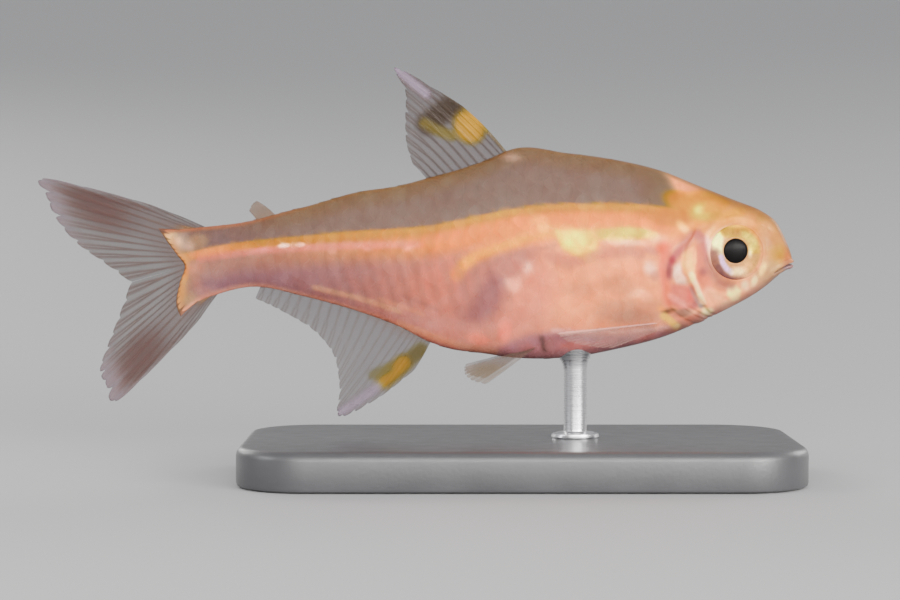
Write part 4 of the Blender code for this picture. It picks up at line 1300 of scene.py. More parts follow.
def eye_circle(radius, turn):
    """Places of a circle about the eye's middle, seen from the side."""
    return EYE_BACK + radius * np.cos(turn), EYE_UP + radius * np.sin(turn)


print("head's side at the eye:", flank_point(EYE_BACK, EYE_UP, 1).round(2))

# %% Make the rims
RIM_POINTS = 144
RIM_REACH, RIM_RISING = 0.84, 13          # where it meets the head, rows that rise with the eye
# out from the eye's edge, height over the head; the last rows close it under skin and eye
RIM_PROFILE = np.array((
    (0.86, -0.080), (0.70, -0.050), (0.56, -0.030), (0.44, -0.018), (0.34, -0.010), (0.24, -0.004),
    (0.16, 0.004), (0.09, 0.012), (0.03, 0.016),
    (-0.02, 0.016), (-0.05, 0.008), (-0.06, -0.05), (0.00, -0.16), (0.20, -0.20), (0.42, -0.14),
))


def rim_points(hand):
    """Rings round the eye: radius by the profile, height over the head or the eye's edge."""
    turn = circle(RIM_POINTS)[None, :]
    out, height = RIM_PROFILE[:, :1], RIM_PROFILE[:, 1:]
    back, up = eye_circle(EYE_RADIUS + out, turn)
    edge_back, edge_up = eye_circle(EYE_RADIUS, turn)
    head_side = np.abs(flank_point(edge_back, edge_up, 1)[..., 1])
    needed = np.maximum(eye_plane(edge_back) - head_side, 0)
    rising = (np.arange(len(RIM_PROFILE)) < RIM_RISING)[:, None]
    shown = np.clip(1 - out / RIM_REACH, 0, 1) ** 1.6 * rising
    relief = bones(back, up) * np.clip(out / 0.25, 0, 1)
    return back, up, height + needed * shown + relief


def make_rim(name, hand):
    back, up, lift = rim_points(hand)
    points = place(flank_point(back, up, hand, lift))
    faces = grid_faces(len(RIM_PROFILE), RIM_POINTS, along=True)
    piece, used = make_piece(name, points, faces, skin_material)
    look = markings(back, up, side_angle(back, up))
    lip = np.array([hill(RIM_PROFILE[:, 0] - 0.02, 0.16) * (RIM_PROFILE[:, 1] > -0.1)]).T
    rear = soft_step(-0.2, 0.8, (back - EYE_BACK) / EYE_RADIUS) * np.ones_like(back)
    low = soft_step(0.1, 0.8, -(up - EYE_UP) / EYE_RADIUS) * np.ones_like(back)
    # paler on the lip's upper rear; darker on its lower rear, which is painted shade under the eye
    wash(look, 0.60 * lip * rear * (1 - low), (248, 220, 196), 0.5)
    wash(look, 0.40 * lip * rear * low, (206, 152, 144), 0.3)
    paint_look(piece, used, look)
    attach(piece, "root")
    print(name, triangles_of(piece), "triangles")


make_rim("right_eye_rim", -1)
make_rim("left_eye_rim", 1)

# %% [markdown]
# ## The eyes
#
# The eye is a shallow dome, set to the slant of the head. Its iris is gold above and in front,
# cream behind, silver under the pupil and pinkish below, with painted shade along its rear and
# lower edge. The pupil sits a little above the middle and behind it, and the round lens bulges
# through it, as in all fish. The grid is made of circles that start round the pupil's centre and
# drift to the eye's own centre, so both edges are true circles. In front the iris fades into the
# head's own colour.

# %% Circles of the eye
PUPIL_BACK, PUPIL_UP, PUPIL_RADIUS = 3.38, 0.38, 0.68
DRIFT_FROM = 0.5                          # as a share of the eye's radius
DOME_FLAT = 0.97                          # 1 would bring the dome down to its plane
LENS_PROUD, LENS_SHARE, PUPIL_STEP = 0.09, 0.96, 0.03
COLLAR, COLLAR_AT = (0.022, 0.16), 1.10   # height in mm; half width, place in pupil radii
EYE_POINTS = 120
EYE_RINGS = np.concatenate([np.linspace(0.02, 0.40, 11), np.linspace(0.415, 0.47, 7),
                            np.linspace(0.50, 1.0, 26)])


def eye_circles(turn):
    """Places of the eye's circles: the centre drifts once the circles leave the pupil."""
    ring = EYE_RINGS[:, None]
    drift = np.clip((ring - DRIFT_FROM) / (1 - DRIFT_FROM), 0, 1)
    back = PUPIL_BACK + (EYE_BACK - PUPIL_BACK) * drift + EYE_RADIUS * ring * np.cos(turn)
    up = PUPIL_UP + (EYE_UP - PUPIL_UP) * drift + EYE_RADIUS * ring * np.sin(turn)
    return back, up


def eye_height(back, up):
    """The dome, a step down at the pupil's edge, and the lens that bulges from it."""
    gap = np.minimum(to_eye(back, up) / EYE_RADIUS, 1)
    dome = EYE_BULGE * np.sqrt(1 - DOME_FLAT * gap ** 2)
    pupil = np.hypot(back - PUPIL_BACK, up - PUPIL_UP) / PUPIL_RADIUS
    lens = LENS_PROUD * np.sqrt(np.clip(1 - (pupil / LENS_SHARE) ** 2, 0, 1)) - PUPIL_STEP
    return dome + np.where(pupil < 1.0, lens, ridge(pupil - COLLAR_AT, COLLAR))


print("eye rings:", len(EYE_RINGS), "of", EYE_POINTS, "points")


# %% Colours of the eye
IRIS_MARKS = (
    (oval((3.5, -0.80), (1.30, 0.60), -18, 0.8), 0.85, (226, 184, 150), 0.3),
    (oval((2.15, -0.50), (0.65, 1.05), 12, 0.6), 0.85, (216, 174, 124), 0.15),
    (area(((1.98, 0.30), (2.02, 0.95), (2.46, 1.60), (3.20, 1.92), (4.20, 1.80), (4.62, 1.36),
           (3.95, 1.14), (3.35, 1.18), (2.85, 1.02), (2.58, 0.62), (2.50, 0.24)), 0.10),
     0.98, (238, 208, 22), 0.03),
    (oval((3.20, 1.44), (0.46, 0.22), -6, 0.7), 0.97, (228, 182, 10), 0.03),
    (oval((3.86, 1.50), (0.42, 0.15), -10, 0.8), 0.85, (234, 194, 14), 0.03),
    (oval((2.70, 1.16), (0.42, 0.18), 40, 0.6), 0.92, (245, 226, 28), 0.03),
    (oval((2.36, 0.74), (0.20, 0.40), 24, 0.6), 0.92, (246, 226, 34), 0.03),
    (oval((1.90, 0.62), (0.16, 0.50), 10, 0.8), 0.85, (226, 184, 116), 0.2),
    (oval((3.2, 1.78), (0.70, 0.12), 0, 0.8), 0.70, (250, 212, 120), 0.15),
    (oval((2.56, 0.30), (0.12, 0.26), 0, 0.8), 0.80, (254, 244, 214), 0.4),
    (area(((4.10, 0.16), (4.40, 0.10), (4.66, 0.44), (4.76, 0.90), (4.56, 1.34), (4.25, 1.44),
           (4.06, 1.10), (4.12, 0.60)), 0.11), 0.97, (255, 252, 206), 0.4),
    (oval((4.80, 0.50), (0.14, 0.60), -8, 0.8), 0.80, (250, 220, 208), 0.4),
    # painted shade: a mauve-brown ring along the eye's rear and lower edge, darkest at its rear
    (band(((4.58, 0.20), (4.50, -0.35), (4.20, -0.90), (3.65, -1.20), (3.00, -1.26), (2.60, -1.16)),
          0.30, 0.8), 0.85, (176, 122, 116), 0.2),
    (band(((4.32, -0.50), (4.02, -1.00), (3.52, -1.24)), 0.14, 1.0), 0.60, (142, 96, 104), 0.2),
    (band(((4.18, 0.05), (4.10, -0.26), (3.88, -0.60), (3.60, -0.80)), 0.15), 0.92, (234, 212, 238), 0.6),
    (oval((3.20, -0.76), (0.46, 0.24), -6, 0.7), 0.92, (255, 236, 204), 0.5),
    (oval((2.72, -0.44), (0.26, 0.26), -30, 0.8), 0.75, (246, 208, 164), 0.3),
    (oval((2.66, -1.04), (0.26, 0.18), 20, 0.8), 0.70, (250, 226, 186), 0.4),
)


def iris_look(back, up):
    """Gold, cream, silver and pink marks and a painted shade on a pale ground, then the black of the pupil.
    """
    look = np.concatenate([np.full((*np.shape(back), 3), (222, 180, 134)),
                           np.full((*np.shape(back), 1), 0.6)], -1)
    lay_marks(look, back, up, IRIS_MARKS)
    turn = np.arctan2(up - PUPIL_UP, PUPIL_BACK - back)
    from_pupil = np.hypot(back - PUPIL_BACK, up - PUPIL_UP)
    streaks = blotches(turn * 9, from_pupil * 0.8, 0.3, 7) + blotches(turn * 20, from_pupil, 0.4, 8)
    look[..., :3] *= (1 + 0.018 * streaks)[..., None]
    edge = hill(from_pupil - PUPIL_RADIUS - 0.03, 0.08)
    wash(look, 0.35 * edge, (176, 128, 96), 0.5)
    black = soft_fall(PUPIL_RADIUS - 0.03, PUPIL_RADIUS + 0.02, from_pupil)
    wash(look, black, (34, 22, 30), 0.0)
    return look


# %% Eye material and pieces
def eye_material():
    """A metallic iris with fine streaks, and the cornea's wet gloss as a clear coat."""
    made, tree, shader = new_material("eye")
    shine = painted(tree, "shine")
    streaks = grain(tree, 5200, 0.86, 1.14, 5.0)
    set_sockets(
        tree, shader, Base_Color=times(tree, painted(tree, "look", "Color"), streaks),
        Metallic=product(tree, shine, 0.35), Roughness=0.36,
        Specular_IOR_Level=spread(tree, shine, 0.04, 0.16),
        Normal=raised(tree, grain(tree, 7000, 0.0, 1.0), 0.3, 0.00001),
        Coat_Weight=spread(tree, shine, 0.03, 0.14), Coat_Roughness=0.08, Coat_IOR=1.34)
    return made


EYE_DEEP, EYE_SUNK = 0.62, 0.02           # the ball's back half, and its gap to the dome's edge
eye_finish = eye_material()


def make_eye(name, hand, node):
    """Front dome and a flatter back, which close at the eye's edge; both end in a point."""
    turn = circle(EYE_POINTS)[None, :]
    back, up = eye_circles(turn)
    rings = np.stack([back, hand * (eye_plane(back) + eye_height(back, up)), up], -1)
    behind = EYE_RINGS[::-1][1::4, None]
    deep_back, deep_up = eye_circle(EYE_RADIUS * behind, turn)
    deep = eye_plane(deep_back) - EYE_DEEP * np.sqrt(1 - behind ** 2) - EYE_SUNK
    rings = np.concatenate([rings, np.stack([deep_back, hand * deep, deep_up], -1)])
    crown = eye_plane(PUPIL_BACK) + eye_height(PUPIL_BACK, PUPIL_UP)
    heel = EYE_SEAT - EYE_DEEP - EYE_SUNK
    points = np.vstack([rings.reshape(-1, 3), (PUPIL_BACK, hand * crown, PUPIL_UP),
                        (EYE_BACK, hand * heel, EYE_UP)])
    faces = capped_faces(rings.shape[0], EYE_POINTS)
    piece, used = make_piece(name, place(points), faces, eye_finish)
    back, up = points[:, 0], points[:, 2]
    look = iris_look(back, up)
    closing = soft_step(EYE_RADIUS - 0.30, EYE_RADIUS - 0.06, to_eye(back, up))
    closing *= soft_step(-0.2, 0.9, (EYE_BACK - back) / EYE_RADIUS)
    look += (markings(back, up, side_angle(back, up)) - look) * closing[:, None]
    paint_look(piece, used, look)
    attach(piece, "root")
    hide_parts(node)
    print(name, triangles_of(piece), "triangles")


make_eye("right_eyeball", -1, "right_eye")
make_eye("left_eyeball", 1, "left_eye")

# %% [markdown]
# ## Fins
#
# A fin is a skin so thin that it is nearly clear, stretched over rays. Every ray starts as one
# stem and splits in two on its way out, and it is jointed, which lets it bend. One function
# makes all the fins: a few key rays give roots and tips, every ray gets a band of columns
# between them, and the thickness across a band is a hill that parts in two. Two faces and a rim
# close the sheet. Colour and cover, how much the fin hides what is behind it, are painted.


# %% Rays and membrane
ROW_CROWDING = 1.1                        # the power that crowds rows at the root
NOTCH = 0.035                             # how far the edge falls back between two rays
RAY_WIDTH, RAY_SLIMMING = 0.125, 0.035    # of a ray, in bands, and how much it loses
RAY_PART = 0.17                           # how far its two branches move from its middle


def fin_grid(roots, tips, rays, per_ray, rows, bow):
    """Middle surface of a fin, as an array of rows by columns, with each column's phase.

    A ray is straight between its root and its tip, plus a bow of half a sine times its length.
    """
    keys = np.linspace(0, 1, len(roots))
    share = np.linspace(0, 1, rays * per_ray + 1)
    root = np.stack([smooth_through(keys, roots[:, k], share) for k in range(3)], -1)
    tip = np.stack([smooth_through(keys, tips[:, k], share) for k in range(3)], -1)
    phase = (share * rays) % 1
    phase[-1] = 1
    out = np.linspace(0, 1, rows)[:, None] ** ROW_CROWDING
    length = np.linalg.norm(tip - root, axis=-1)
    between = 1 - np.sin(math.pi * phase)
    reach = 1 - NOTCH * between ** 2 * (1 + 0.5 * np.sin(37 * share))
    grid = root + (tip - root) * (reach * out)[..., None]
    grid = grid + np.asarray(bow) * (length * np.sin(math.pi * out))[..., None]
    return grid, np.broadcast_to(phase, grid.shape[:2]), np.broadcast_to(out, grid.shape[:2]), share


def ray_height(phase, out, parted=True):
    """A hill across a ray's band, 1 on its crest, that parts in two past the middle."""
    split = RAY_PART * soft_step(0.42, 0.80, out) if parted else 0.0
    width = RAY_WIDTH - RAY_SLIMMING * soft_step(0.3, 0.9, out)
    left = np.exp(-((phase - 0.5 + split) / width) ** 2)
    right = np.exp(-((phase - 0.5 - split) / width) ** 2)
    return np.maximum(left, right)


print("across a ray near its root:", ray_height(np.linspace(0, 1, 5), 0.1).round(2))

# %% [markdown]
# ### Fin material
#
# The membrane lets the background through by its painted cover. Along each ray runs a fine
# ladder of joints: it follows the fin's own UV map, where v runs from the root to the tips.


# %% Fin material
def fin_material(name, joints):
    made, tree, shader = new_material(name)
    where = add_node(tree, "UVMap", "UV", {"uv_map": "rays"})
    ladder = add_node(tree, "TexWave", "Fac", {"bands_direction": "Y"}, Vector=where, Scale=joints,
                      Distortion=0.6)
    tone = times(tree, painted(tree, "look", "Color"), grain(tree, 2600, 0.92, 1.08))
    set_sockets(tree, shader, Base_Color=tone, Alpha=painted(tree, "cover"),
                Normal=raised(tree, ladder, 0.35, 0.00002), Roughness=0.36,
                Specular_IOR_Level=0.12, Coat_Weight=0.03, Coat_Roughness=0.12)
    return made


MEMBRANE_THINNING, STEM_THINNING = 0.35, 0.55
FACE_WIDE, FACE_HIGH = 0.45, 0.95         # of each face on the fin's UV map


def make_fin(name, roots, tips, rays, look_of, slot, nodes, per_ray=8, rows=44, bow=(0, 0, 0),
             stem=0.085, membrane=0.030, joints=30.0, parted=True):
    """A closed fin: two faces at half the thickness either way of the middle, and a rim."""
    grid, phase, out, share = fin_grid(roots, tips, rays, per_ray, rows, bow)
    crest = ray_height(phase, out, parted)
    half = membrane * (1 - MEMBRANE_THINNING * out)
    half = half + (stem - membrane) * crest * (1 - STEM_THINNING * out)
    places = place(grid)
    normal = np.cross(np.gradient(places, axis=1), np.gradient(places, axis=0))
    normal /= np.maximum(np.linalg.norm(normal, axis=-1, keepdims=True), 1e-15)
    shift = normal * (half * MM)[..., None]
    points = np.stack([places + shift, places - shift])
    faces = sheet_faces(rows, grid.shape[1])
    piece, used = make_piece(name, points, faces, fin_material(name, joints))
    look, cover = look_of(grid[..., 0], grid[..., 2], out, crest, np.broadcast_to(share, out.shape))
    look = pigment(np.stack([look, look]).reshape(-1, 3))
    paint_points(piece, used, look=look, cover=np.clip(np.stack([cover, cover]), 0, 1))
    u = np.stack([share * FACE_WIDE + 0 * out, 0.5 + share * FACE_WIDE + 0 * out])
    lay_out(piece, used, u, np.stack([out, out]) * FACE_HIGH + 0.02, name="rays")
    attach(piece, "root")
    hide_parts(*nodes)
    print(name, triangles_of(piece), "triangles")


def tinted(clear, ray, crest):
    """Membrane colour going over to ray colour by the crest."""
    return np.array(clear) + (np.array(ray) - np.array(clear)) * crest[..., None]


def tint(look, cover, mask, colour, covered):
    """Lays a colour over a fin, and brings its cover to a value."""
    look += (np.array(colour, float) - look) * mask[..., None]
    cover += (covered - cover) * mask


# %% [markdown]
# ### Dorsal, anal and adipose fins
#
# The fish's flags: on the dorsal and the anal fin a yellow patch, a dark band and a milky tip.
# The key rays are those of the solids. Their roots start inside the flesh, so no gap shows.

# %% Fins on the midline
ROOT_SUNK = 0.35
# root back, tip back, tip up
DORSAL_RAYS = (
    (15.75, 18.50, 8.50), (16.30, 22.07, 10.55), (17.30, 21.60, 9.25),
    (18.30, 21.60, 7.85), (19.25, 21.55, 6.45), (20.20, 21.20, 5.20),
)
ANAL_RAYS = (
    (20.05, 21.10, -6.35), (20.60, 23.20, -7.95), (21.40, 25.31, -8.94), (22.90, 25.30, -7.30),
    (24.60, 25.65, -5.45), (26.30, 26.90, -4.00), (28.10, 28.85, -2.95), (29.80, 30.35, -2.20),
)
ADIPOSE_RAYS = ((28.60, 29.70, 3.25), (29.10, 29.95, 3.08), (29.65, 30.15, 2.72))


def on_midline(backs, ups):
    return np.stack([backs, np.zeros(len(backs)), ups], -1)


def midline_rays(keys, column, sink):
    """Roots on the top or bottom line of the body, sunk by sink, and tips."""
    root_back, tip_back, tip_up = np.array(keys).T
    root_up = profile(column, root_back) + sink
    return on_midline(root_back, root_up), on_midline(tip_back, tip_up)


def dorsal_look(back, up, out, crest, share):
    look = tinted((116, 96, 100), (112, 82, 72), crest)
    cover = 0.42 + 0.30 * crest - 0.08 * out
    tint(look, cover, 0.85 * soft_fall(0.02, 0.09, share), (158, 138, 112), 0.85)
    tint(look, cover, 0.9 * band(((18.6, 8.75), (19.3, 8.2), (20.35, 7.45)), 0.62, 0.5)(back, up)
         * (1 - 0.35 * crest), (88, 58, 38), 0.86)
    tint(look, cover, 0.8 * band(((19.0, 6.75), (19.8, 7.05), (20.5, 7.45)), 0.30)(back, up),
         (180, 152, 24), 0.80)
    tint(look, cover, oval((18.02, 7.28), (0.98, 0.86), 62, 0.30)(back, up), (218, 178, 20), 0.97)
    tint(look, cover, 0.6 * oval((17.9, 7.5), (0.55, 0.45), 50)(back, up), (230, 192, 30), 0.97)
    tint(look, cover, 0.90 * band(((20.45, 9.10), (21.3, 9.80), (22.1, 10.5)), 0.30, 0.8)(back, up),
         (186, 174, 190), 0.82)
    return look, cover


def anal_look(back, up, out, crest, share):
    look = tinted((116, 102, 110), (134, 116, 112), crest)
    cover = 0.44 + 0.18 * crest - 0.10 * out
    tint(look, cover, 0.5 * soft_fall(0.0, 0.18, out), (176, 138, 120), 0.75)
    tint(look, cover, 0.85 * band(((20.75, -5.2), (21.6, -5.9), (22.2, -6.4)), 0.40)(back, up),
         (150, 122, 16), 0.82)
    tint(look, cover, band(((21.75, -5.95), (22.75, -6.9)), 0.44, 0.7)(back, up), (208, 166, 12), 0.96)
    tint(look, cover, 0.7 * band(((22.6, -6.2), (23.4, -6.6)), 0.30)(back, up), (150, 128, 54), 0.75)
    tint(look, cover, 0.90 * band(((23.2, -7.30), (24.3, -8.1), (25.25, -8.75)), 0.32, 0.8)(back, up),
         (178, 166, 180), 0.74)
    return look, cover


def adipose_look(back, up, out, crest, share):
    look = tinted((168, 140, 128), (176, 148, 132), crest)
    return look, 0.78 - 0.25 * out


# name, keys, line of the body, sink, rays, look, node, rows, bow, what else differs
midline = (
    ("dorsal_sail", DORSAL_RAYS, TOP, -ROOT_SUNK, 11, dorsal_look, "dorsal_fin",
     52, (0, 0, 0.04), {}),
    ("anal_sail", ANAL_RAYS, BOTTOM, ROOT_SUNK, 22, anal_look, "anal_fin",
     40, (0, 0, -0.03), {"per_ray": 6}),
    ("adipose_lobe", ADIPOSE_RAYS, TOP, -ROOT_SUNK, 4, adipose_look, "adipose_fin",
     18, (0, 0, 0.05), {"stem": 0.10, "membrane": 0.085, "parted": False}),
)
for name, keys, column, sink, rays, look_of, node, fin_rows, bow, more in midline:
    roots, tips = midline_rays(keys, column, sink)
    make_fin(name, roots, tips, rays, look_of, node, [node], rows=fin_rows, bow=bow, **more)

# %% [markdown]
# ### Tail fin
#
# The tail fin is two lobes. Its rays fan out from the flesh over the last bones, and the last
# ray of each lobe meets the other's in the fork. The lobes carry a reddish brown tint and milky
# tips, and the short rays in the fork are almost clear.

# %% Tail lobes
# from the middle of the tail's end: root back, root up, tip back, tip up
UPPER_TAIL_RAYS = (
    (-1.30, 2.22, -0.25, 2.98), (-0.75, 2.38, 1.75, 4.33), (-0.15, 2.52, 6.70, 6.96),
    (0.25, 2.00, 6.84, 5.90), (0.27, 1.40, 6.60, 4.50), (0.27, 0.95, 5.80, 2.90),
    (0.27, 0.50, 4.60, 1.50), (0.27, 0.00, 3.30, -0.04),
)
LOWER_TAIL_RAYS = (
    (-1.30, -2.20, -0.15, -3.02), (-0.75, -2.36, 1.85, -4.25), (-0.15, -2.50, 5.85, -6.34),
    (0.25, -2.00, 6.25, -5.30), (0.27, -1.40, 6.38, -4.40), (0.27, -0.95, 5.60, -3.20),
    (0.27, -0.50, 4.50, -1.75), (0.27, 0.00, 3.30, -0.06),
)
TAIL_ROOT_SUNK, TAIL_ROOT_PINCH = 0.85, 0.94


def lobe_look(red_at, white_at):
    """A look for one lobe: where along its share the red and the white sit."""
    def look_of(back, up, out, crest, share):
        look = tinted((108, 88, 88), (142, 106, 98), crest)
        cover = 0.42 + 0.34 * crest - 0.06 * out
        tint(look, cover, 0.55 * soft_fall(0.10, 0.45, out), (150, 108, 100), 0.66)
        tint(look, cover, 0.75 * oval(red_at, (0.20, 0.26), 0, 0.7)(share, out), (128, 66, 58), 0.74)
        tint(look, cover, 0.60 * oval(white_at, (0.30, 0.13), 0, 0.7)(share, out), (196, 184, 200), 0.66)
        tint(look, cover, 0.7 * soft_fall(0.03, 0.12, out), (196, 156, 122), 0.9)
        return look, cover
    return look_of


for name, keys, node, red_at, white_at in (
    ("tail_upper_lobe", UPPER_TAIL_RAYS, "caudal_fin_upper", (0.36, 0.62), (0.42, 1.0)),
    ("tail_lower_lobe", LOWER_TAIL_RAYS, "caudal_fin_lower", (0.38, 0.66), (0.42, 0.99)),
):
    root_back, root_up, tip_back, tip_up = np.array(keys).T
    start = np.array((STANDARD_LENGTH, 0, TAIL_AXIS_UP))
    roots, tips = start + on_midline(root_back, root_up), start + on_midline(tip_back, tip_up)
    run = tips - roots
    roots = roots - TAIL_ROOT_SUNK * run / np.linalg.norm(run, axis=-1, keepdims=True)
    roots[:, 2] = TAIL_AXIS_UP + (roots[:, 2] - TAIL_AXIS_UP) * TAIL_ROOT_PINCH
    make_fin(name, roots, tips, 13, lobe_look(red_at, white_at), "caudal_fin", [node],
             rows=64, joints=40.0)

# %% [markdown]
# ### Paired fins
#
# The breast fins are folded back along the belly, with one whitish leading ray, and the pelvic
# fins hang open below. Roots lie on the body at an angle round it, a little inside the skin.

# %% Breast and pelvic fins
PAIRED_SUNK = 0.12
# root back, angle round the body, tip back, side, up
PECTORAL_RAYS = (
    (6.95, -57, 13.30, 2.60, -4.10), (7.12, -60, 12.70, 2.36, -4.55),
    (7.28, -62, 11.40, 2.05, -4.88), (7.42, -66, 10.10, 1.82, -4.98),
)
PELVIC_RAYS = (
    (14.20, -62, 17.10, 2.30, -6.95), (14.60, -66, 17.90, 1.90, -6.75),
    (15.00, -70, 18.30, 1.45, -6.40), (15.40, -74, 18.20, 1.10, -6.05),
)


def pectoral_look(back, up, out, crest, share):
    look = tinted((196, 168, 164), (222, 196, 190), crest)
    cover = 0.11 + 0.18 * crest - 0.06 * out
    lead = soft_fall(0.05, 0.15, share)
    tint(look, cover, 0.9 * lead, (240, 204, 200), 0.62)
    # the root: cream-yellow skin with a painted glint on it
    tint(look, cover, 0.8 * soft_fall(0.04, 0.14, out), (246, 218, 164), 0.85)
    return look, cover


def pelvic_look(back, up, out, crest, share):
    look = tinted((160, 138, 132), (184, 156, 144), crest)
    cover = 0.24 + 0.26 * crest - 0.08 * out
    tint(look, cover, 0.6 * oval((0.35, 0.75), (0.4, 0.25), 0, 0.7)(share, out), (160, 132, 92), 0.42)
    tint(look, cover, 0.6 * soft_fall(0.02, 0.12, out), (214, 160, 142), 0.85)
    return look, cover


for kind, keys, rays, look_of, fin_rows in (
    ("pectoral", PECTORAL_RAYS, 10, pectoral_look, 44),
    ("pelvic", PELVIC_RAYS, 7, pelvic_look, 36),
):
    for hand_name, hand in (("right", -1), ("left", 1)):
        root_at, degrees, *tip = np.array(keys).T
        roots = on_skin(root_at, np.radians(degrees), -PAIRED_SUNK * np.ones(len(keys)))
        tips = np.stack(tip, -1)
        flip = (1, hand, 1)
        make_fin(f"{hand_name}_{kind}_fan", roots * flip, tips * flip, rays, look_of, f"{kind}_fin",
                 [f"{hand_name}_{kind}_fin"], per_ray=6, rows=fin_rows, bow=(0, 0.03 * hand, 0),
                 stem=0.055, membrane=0.018, joints=26.0)

# %% [markdown]
# ## The stand
#
# A flat plinth with round corners and a turned rod. The plinth is one closed grid: a rounded
# rectangle, carried along a profile that runs from the middle of its underside over the eased
# edges to the middle of its top. The rod ends in a small cup that follows the belly.


# %% Plinth
BASE_LENGTH, BASE_WIDTH, BASE_HEIGHT, BASE_CORNER = 31.0, 17.0, 2.2, 4.0
BASE_POINTS = 240
# inwards from the edge, height; the first and the last step lie near the middle
BASE_PROFILE = np.array((
    (7.0, 0.0), (3.0, 0.0), (0.40, 0.0), (0.18, 0.03), (0.04, 0.12), (0.0, 0.26), (0.0, 1.0),
    (0.0, 1.70), (0.04, 1.90), (0.13, 2.06), (0.27, 2.16), (0.46, 2.20), (0.9, 2.20), (3.0, 2.20),
    (7.0, 2.20),
))


def rounded_rectangle(inset, turn):
    """Corner arcs of a shrinking radius about fixed centres, joined by straight sides."""
    radius = np.maximum(BASE_CORNER - inset, 0.02)
    shrink = np.maximum(inset - BASE_CORNER, 0)
    x = np.sign(np.cos(turn)) * (BASE_LENGTH / 2 - BASE_CORNER - shrink) + radius * np.cos(turn)
    y = np.sign(np.sin(turn)) * (BASE_WIDTH / 2 - BASE_CORNER - shrink) + radius * np.sin(turn)
    return x, y


def make_plinth(material):
    turn = 2 * math.pi * (np.arange(BASE_POINTS) + 0.5)[None, :] / BASE_POINTS
    x, y = rounded_rectangle(BASE_PROFILE[:, :1], turn)
    z = np.broadcast_to(BASE_PROFILE[:, 1:], x.shape)
    points = np.vstack([np.stack([x, y, z], -1).reshape(-1, 3), (0, 0, 0), (0, 0, BASE_HEIGHT)])
    faces = capped_faces(len(BASE_PROFILE), BASE_POINTS)
    return make_piece("plinth", points * MM, faces, material, crease=40)[0]


# %% Stand materials
def drifting(tree, scale, dark, light, detail=3.0):
    """A colour that drifts between two by the grain."""
    ramp = tree.nodes.new("ShaderNodeValToRGB")
    for stop, colour in zip(ramp.color_ramp.elements, (dark, light)):
        stop.color = colour
    feed(tree, ramp.inputs["Fac"], grain(tree, scale, 0.0, 1.0, detail))
    return ramp.outputs["Color"]


def plinth_material():
    """Dark satin lacquer: a faint cloud in colour and gloss, and a very fine grain in its surface."""
    made, tree, shader = new_material("stand_base")
    cloud = drifting(tree, 260, (0.034, 0.034, 0.037, 1), (0.044, 0.044, 0.048, 1), 6.0)
    set_sockets(tree, shader, Base_Color=cloud, Roughness=grain(tree, 900, 0.38, 0.45),
                Normal=raised(tree, grain(tree, 4200, 0.0, 1.0), 0.2, 0.000015),
                Coat_Weight=0.15, Coat_Roughness=0.25)
    return made


def rod_material():
    """Brushed steel: noise stretched round the rod gives it turning marks."""
    made, tree, shader = new_material("stand_rod")
    where = add_node(tree, "TexCoord", "Object")
    stretched = add_node(tree, "Mapping", "Vector", Vector=where, Scale=(300, 300, 14000))
    noise = add_node(tree, "TexNoise", "Fac", Vector=stretched, Scale=1.0, Detail=4.0)
    set_sockets(tree, shader, Base_Color=(0.56, 0.56, 0.58, 1), Metallic=1.0,
                Roughness=spread(tree, noise, 0.20, 0.38, 0.3, 0.7),
                Normal=raised(tree, noise, 0.2, 0.00001))
    return made


plinth = make_plinth(plinth_material())
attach(plinth, "root")
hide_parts("stand_base")
print("plinth:", triangles_of(plinth), "triangles")

# %% Rod with its collar and cup
ROD_BACK, ROD_POINTS = 12.1, 72
ROD_SEAT, ROD_SUNK = 0.02, 0.03           # how far it is let into the plinth and the belly
# radius, height as a share of the way up
ROD_PROFILE = np.array((
    (0.02, 0.0), (1.20, 0.0), (1.30, 0.004), (1.34, 0.020), (1.30, 0.050), (1.12, 0.062),
    (0.80, 0.070), (0.66, 0.085), (0.64, 0.12), (0.64, 0.50), (0.64, 0.82), (0.66, 0.86),
    (0.74, 0.93), (0.86, 0.975), (0.90, 0.995), (0.84, 1.0), (0.45, 1.0), (0.02, 1.0),
))


def belly_height(back, side):
    """Height of the belly at a place: from the half width to the cosine, then to the sine."""
    share = np.clip(np.abs(side) / profile(HALF_WIDTH, back), 0, 1) ** (1 / profile(SHARPNESS, back))
    level = profile(LEVEL, back)
    return level - (level - profile(BOTTOM, back)) * np.sqrt(1 - share ** 2)


def make_rod(material):
    """Rings of the turned profile; their heights stretch up to meet the belly all round."""
    turn = circle(ROD_POINTS)[None, :]
    back = ROD_BACK - ROD_PROFILE[:, :1] * np.cos(turn)
    side = ROD_PROFILE[:, :1] * np.sin(turn)
    foot = (BASE_HEIGHT - ROD_SEAT) - AXIS_Z / MM
    top = belly_height(back, side) + ROD_SUNK
    up = foot + (top - foot) * ROD_PROFILE[:, 1:]
    ends = [(ROD_BACK, 0, foot), (ROD_BACK, 0, float(belly_height(ROD_BACK, 0.0)) + ROD_SUNK)]
    points = np.vstack([np.stack([back, side, up], -1).reshape(-1, 3), ends])
    faces = capped_faces(len(ROD_PROFILE), ROD_POINTS)
    return make_piece("rod", place(points), faces, material, crease=40)[0]


rod = make_rod(rod_material())
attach(rod, "root")
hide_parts("stand_rod")
print("rod:", triangles_of(rod), "triangles")

# %% [markdown]
# ## Floor and light
#
# A pale floor that curves up into its own backdrop all round, like a shallow bowl, so no
# horizon shows from any side. Soft lamps stand round it: two in front, one high and one low,
# one by the head, a faint one by the tail, and two behind that light the far side and edge the
# fins. Each lamp's spread is narrowed, so that less of its light falls on the floor beside it.

# %% Floor
BOWL_POINTS, BOWL_RINGS = 96, 40
BOWL_FLAT, BOWL_SIZE, BOWL_CUT = 0.05, 1.2, 0.42      # flat middle, radius, share of a quarter turn
FLOOR_GAP = 0.00002

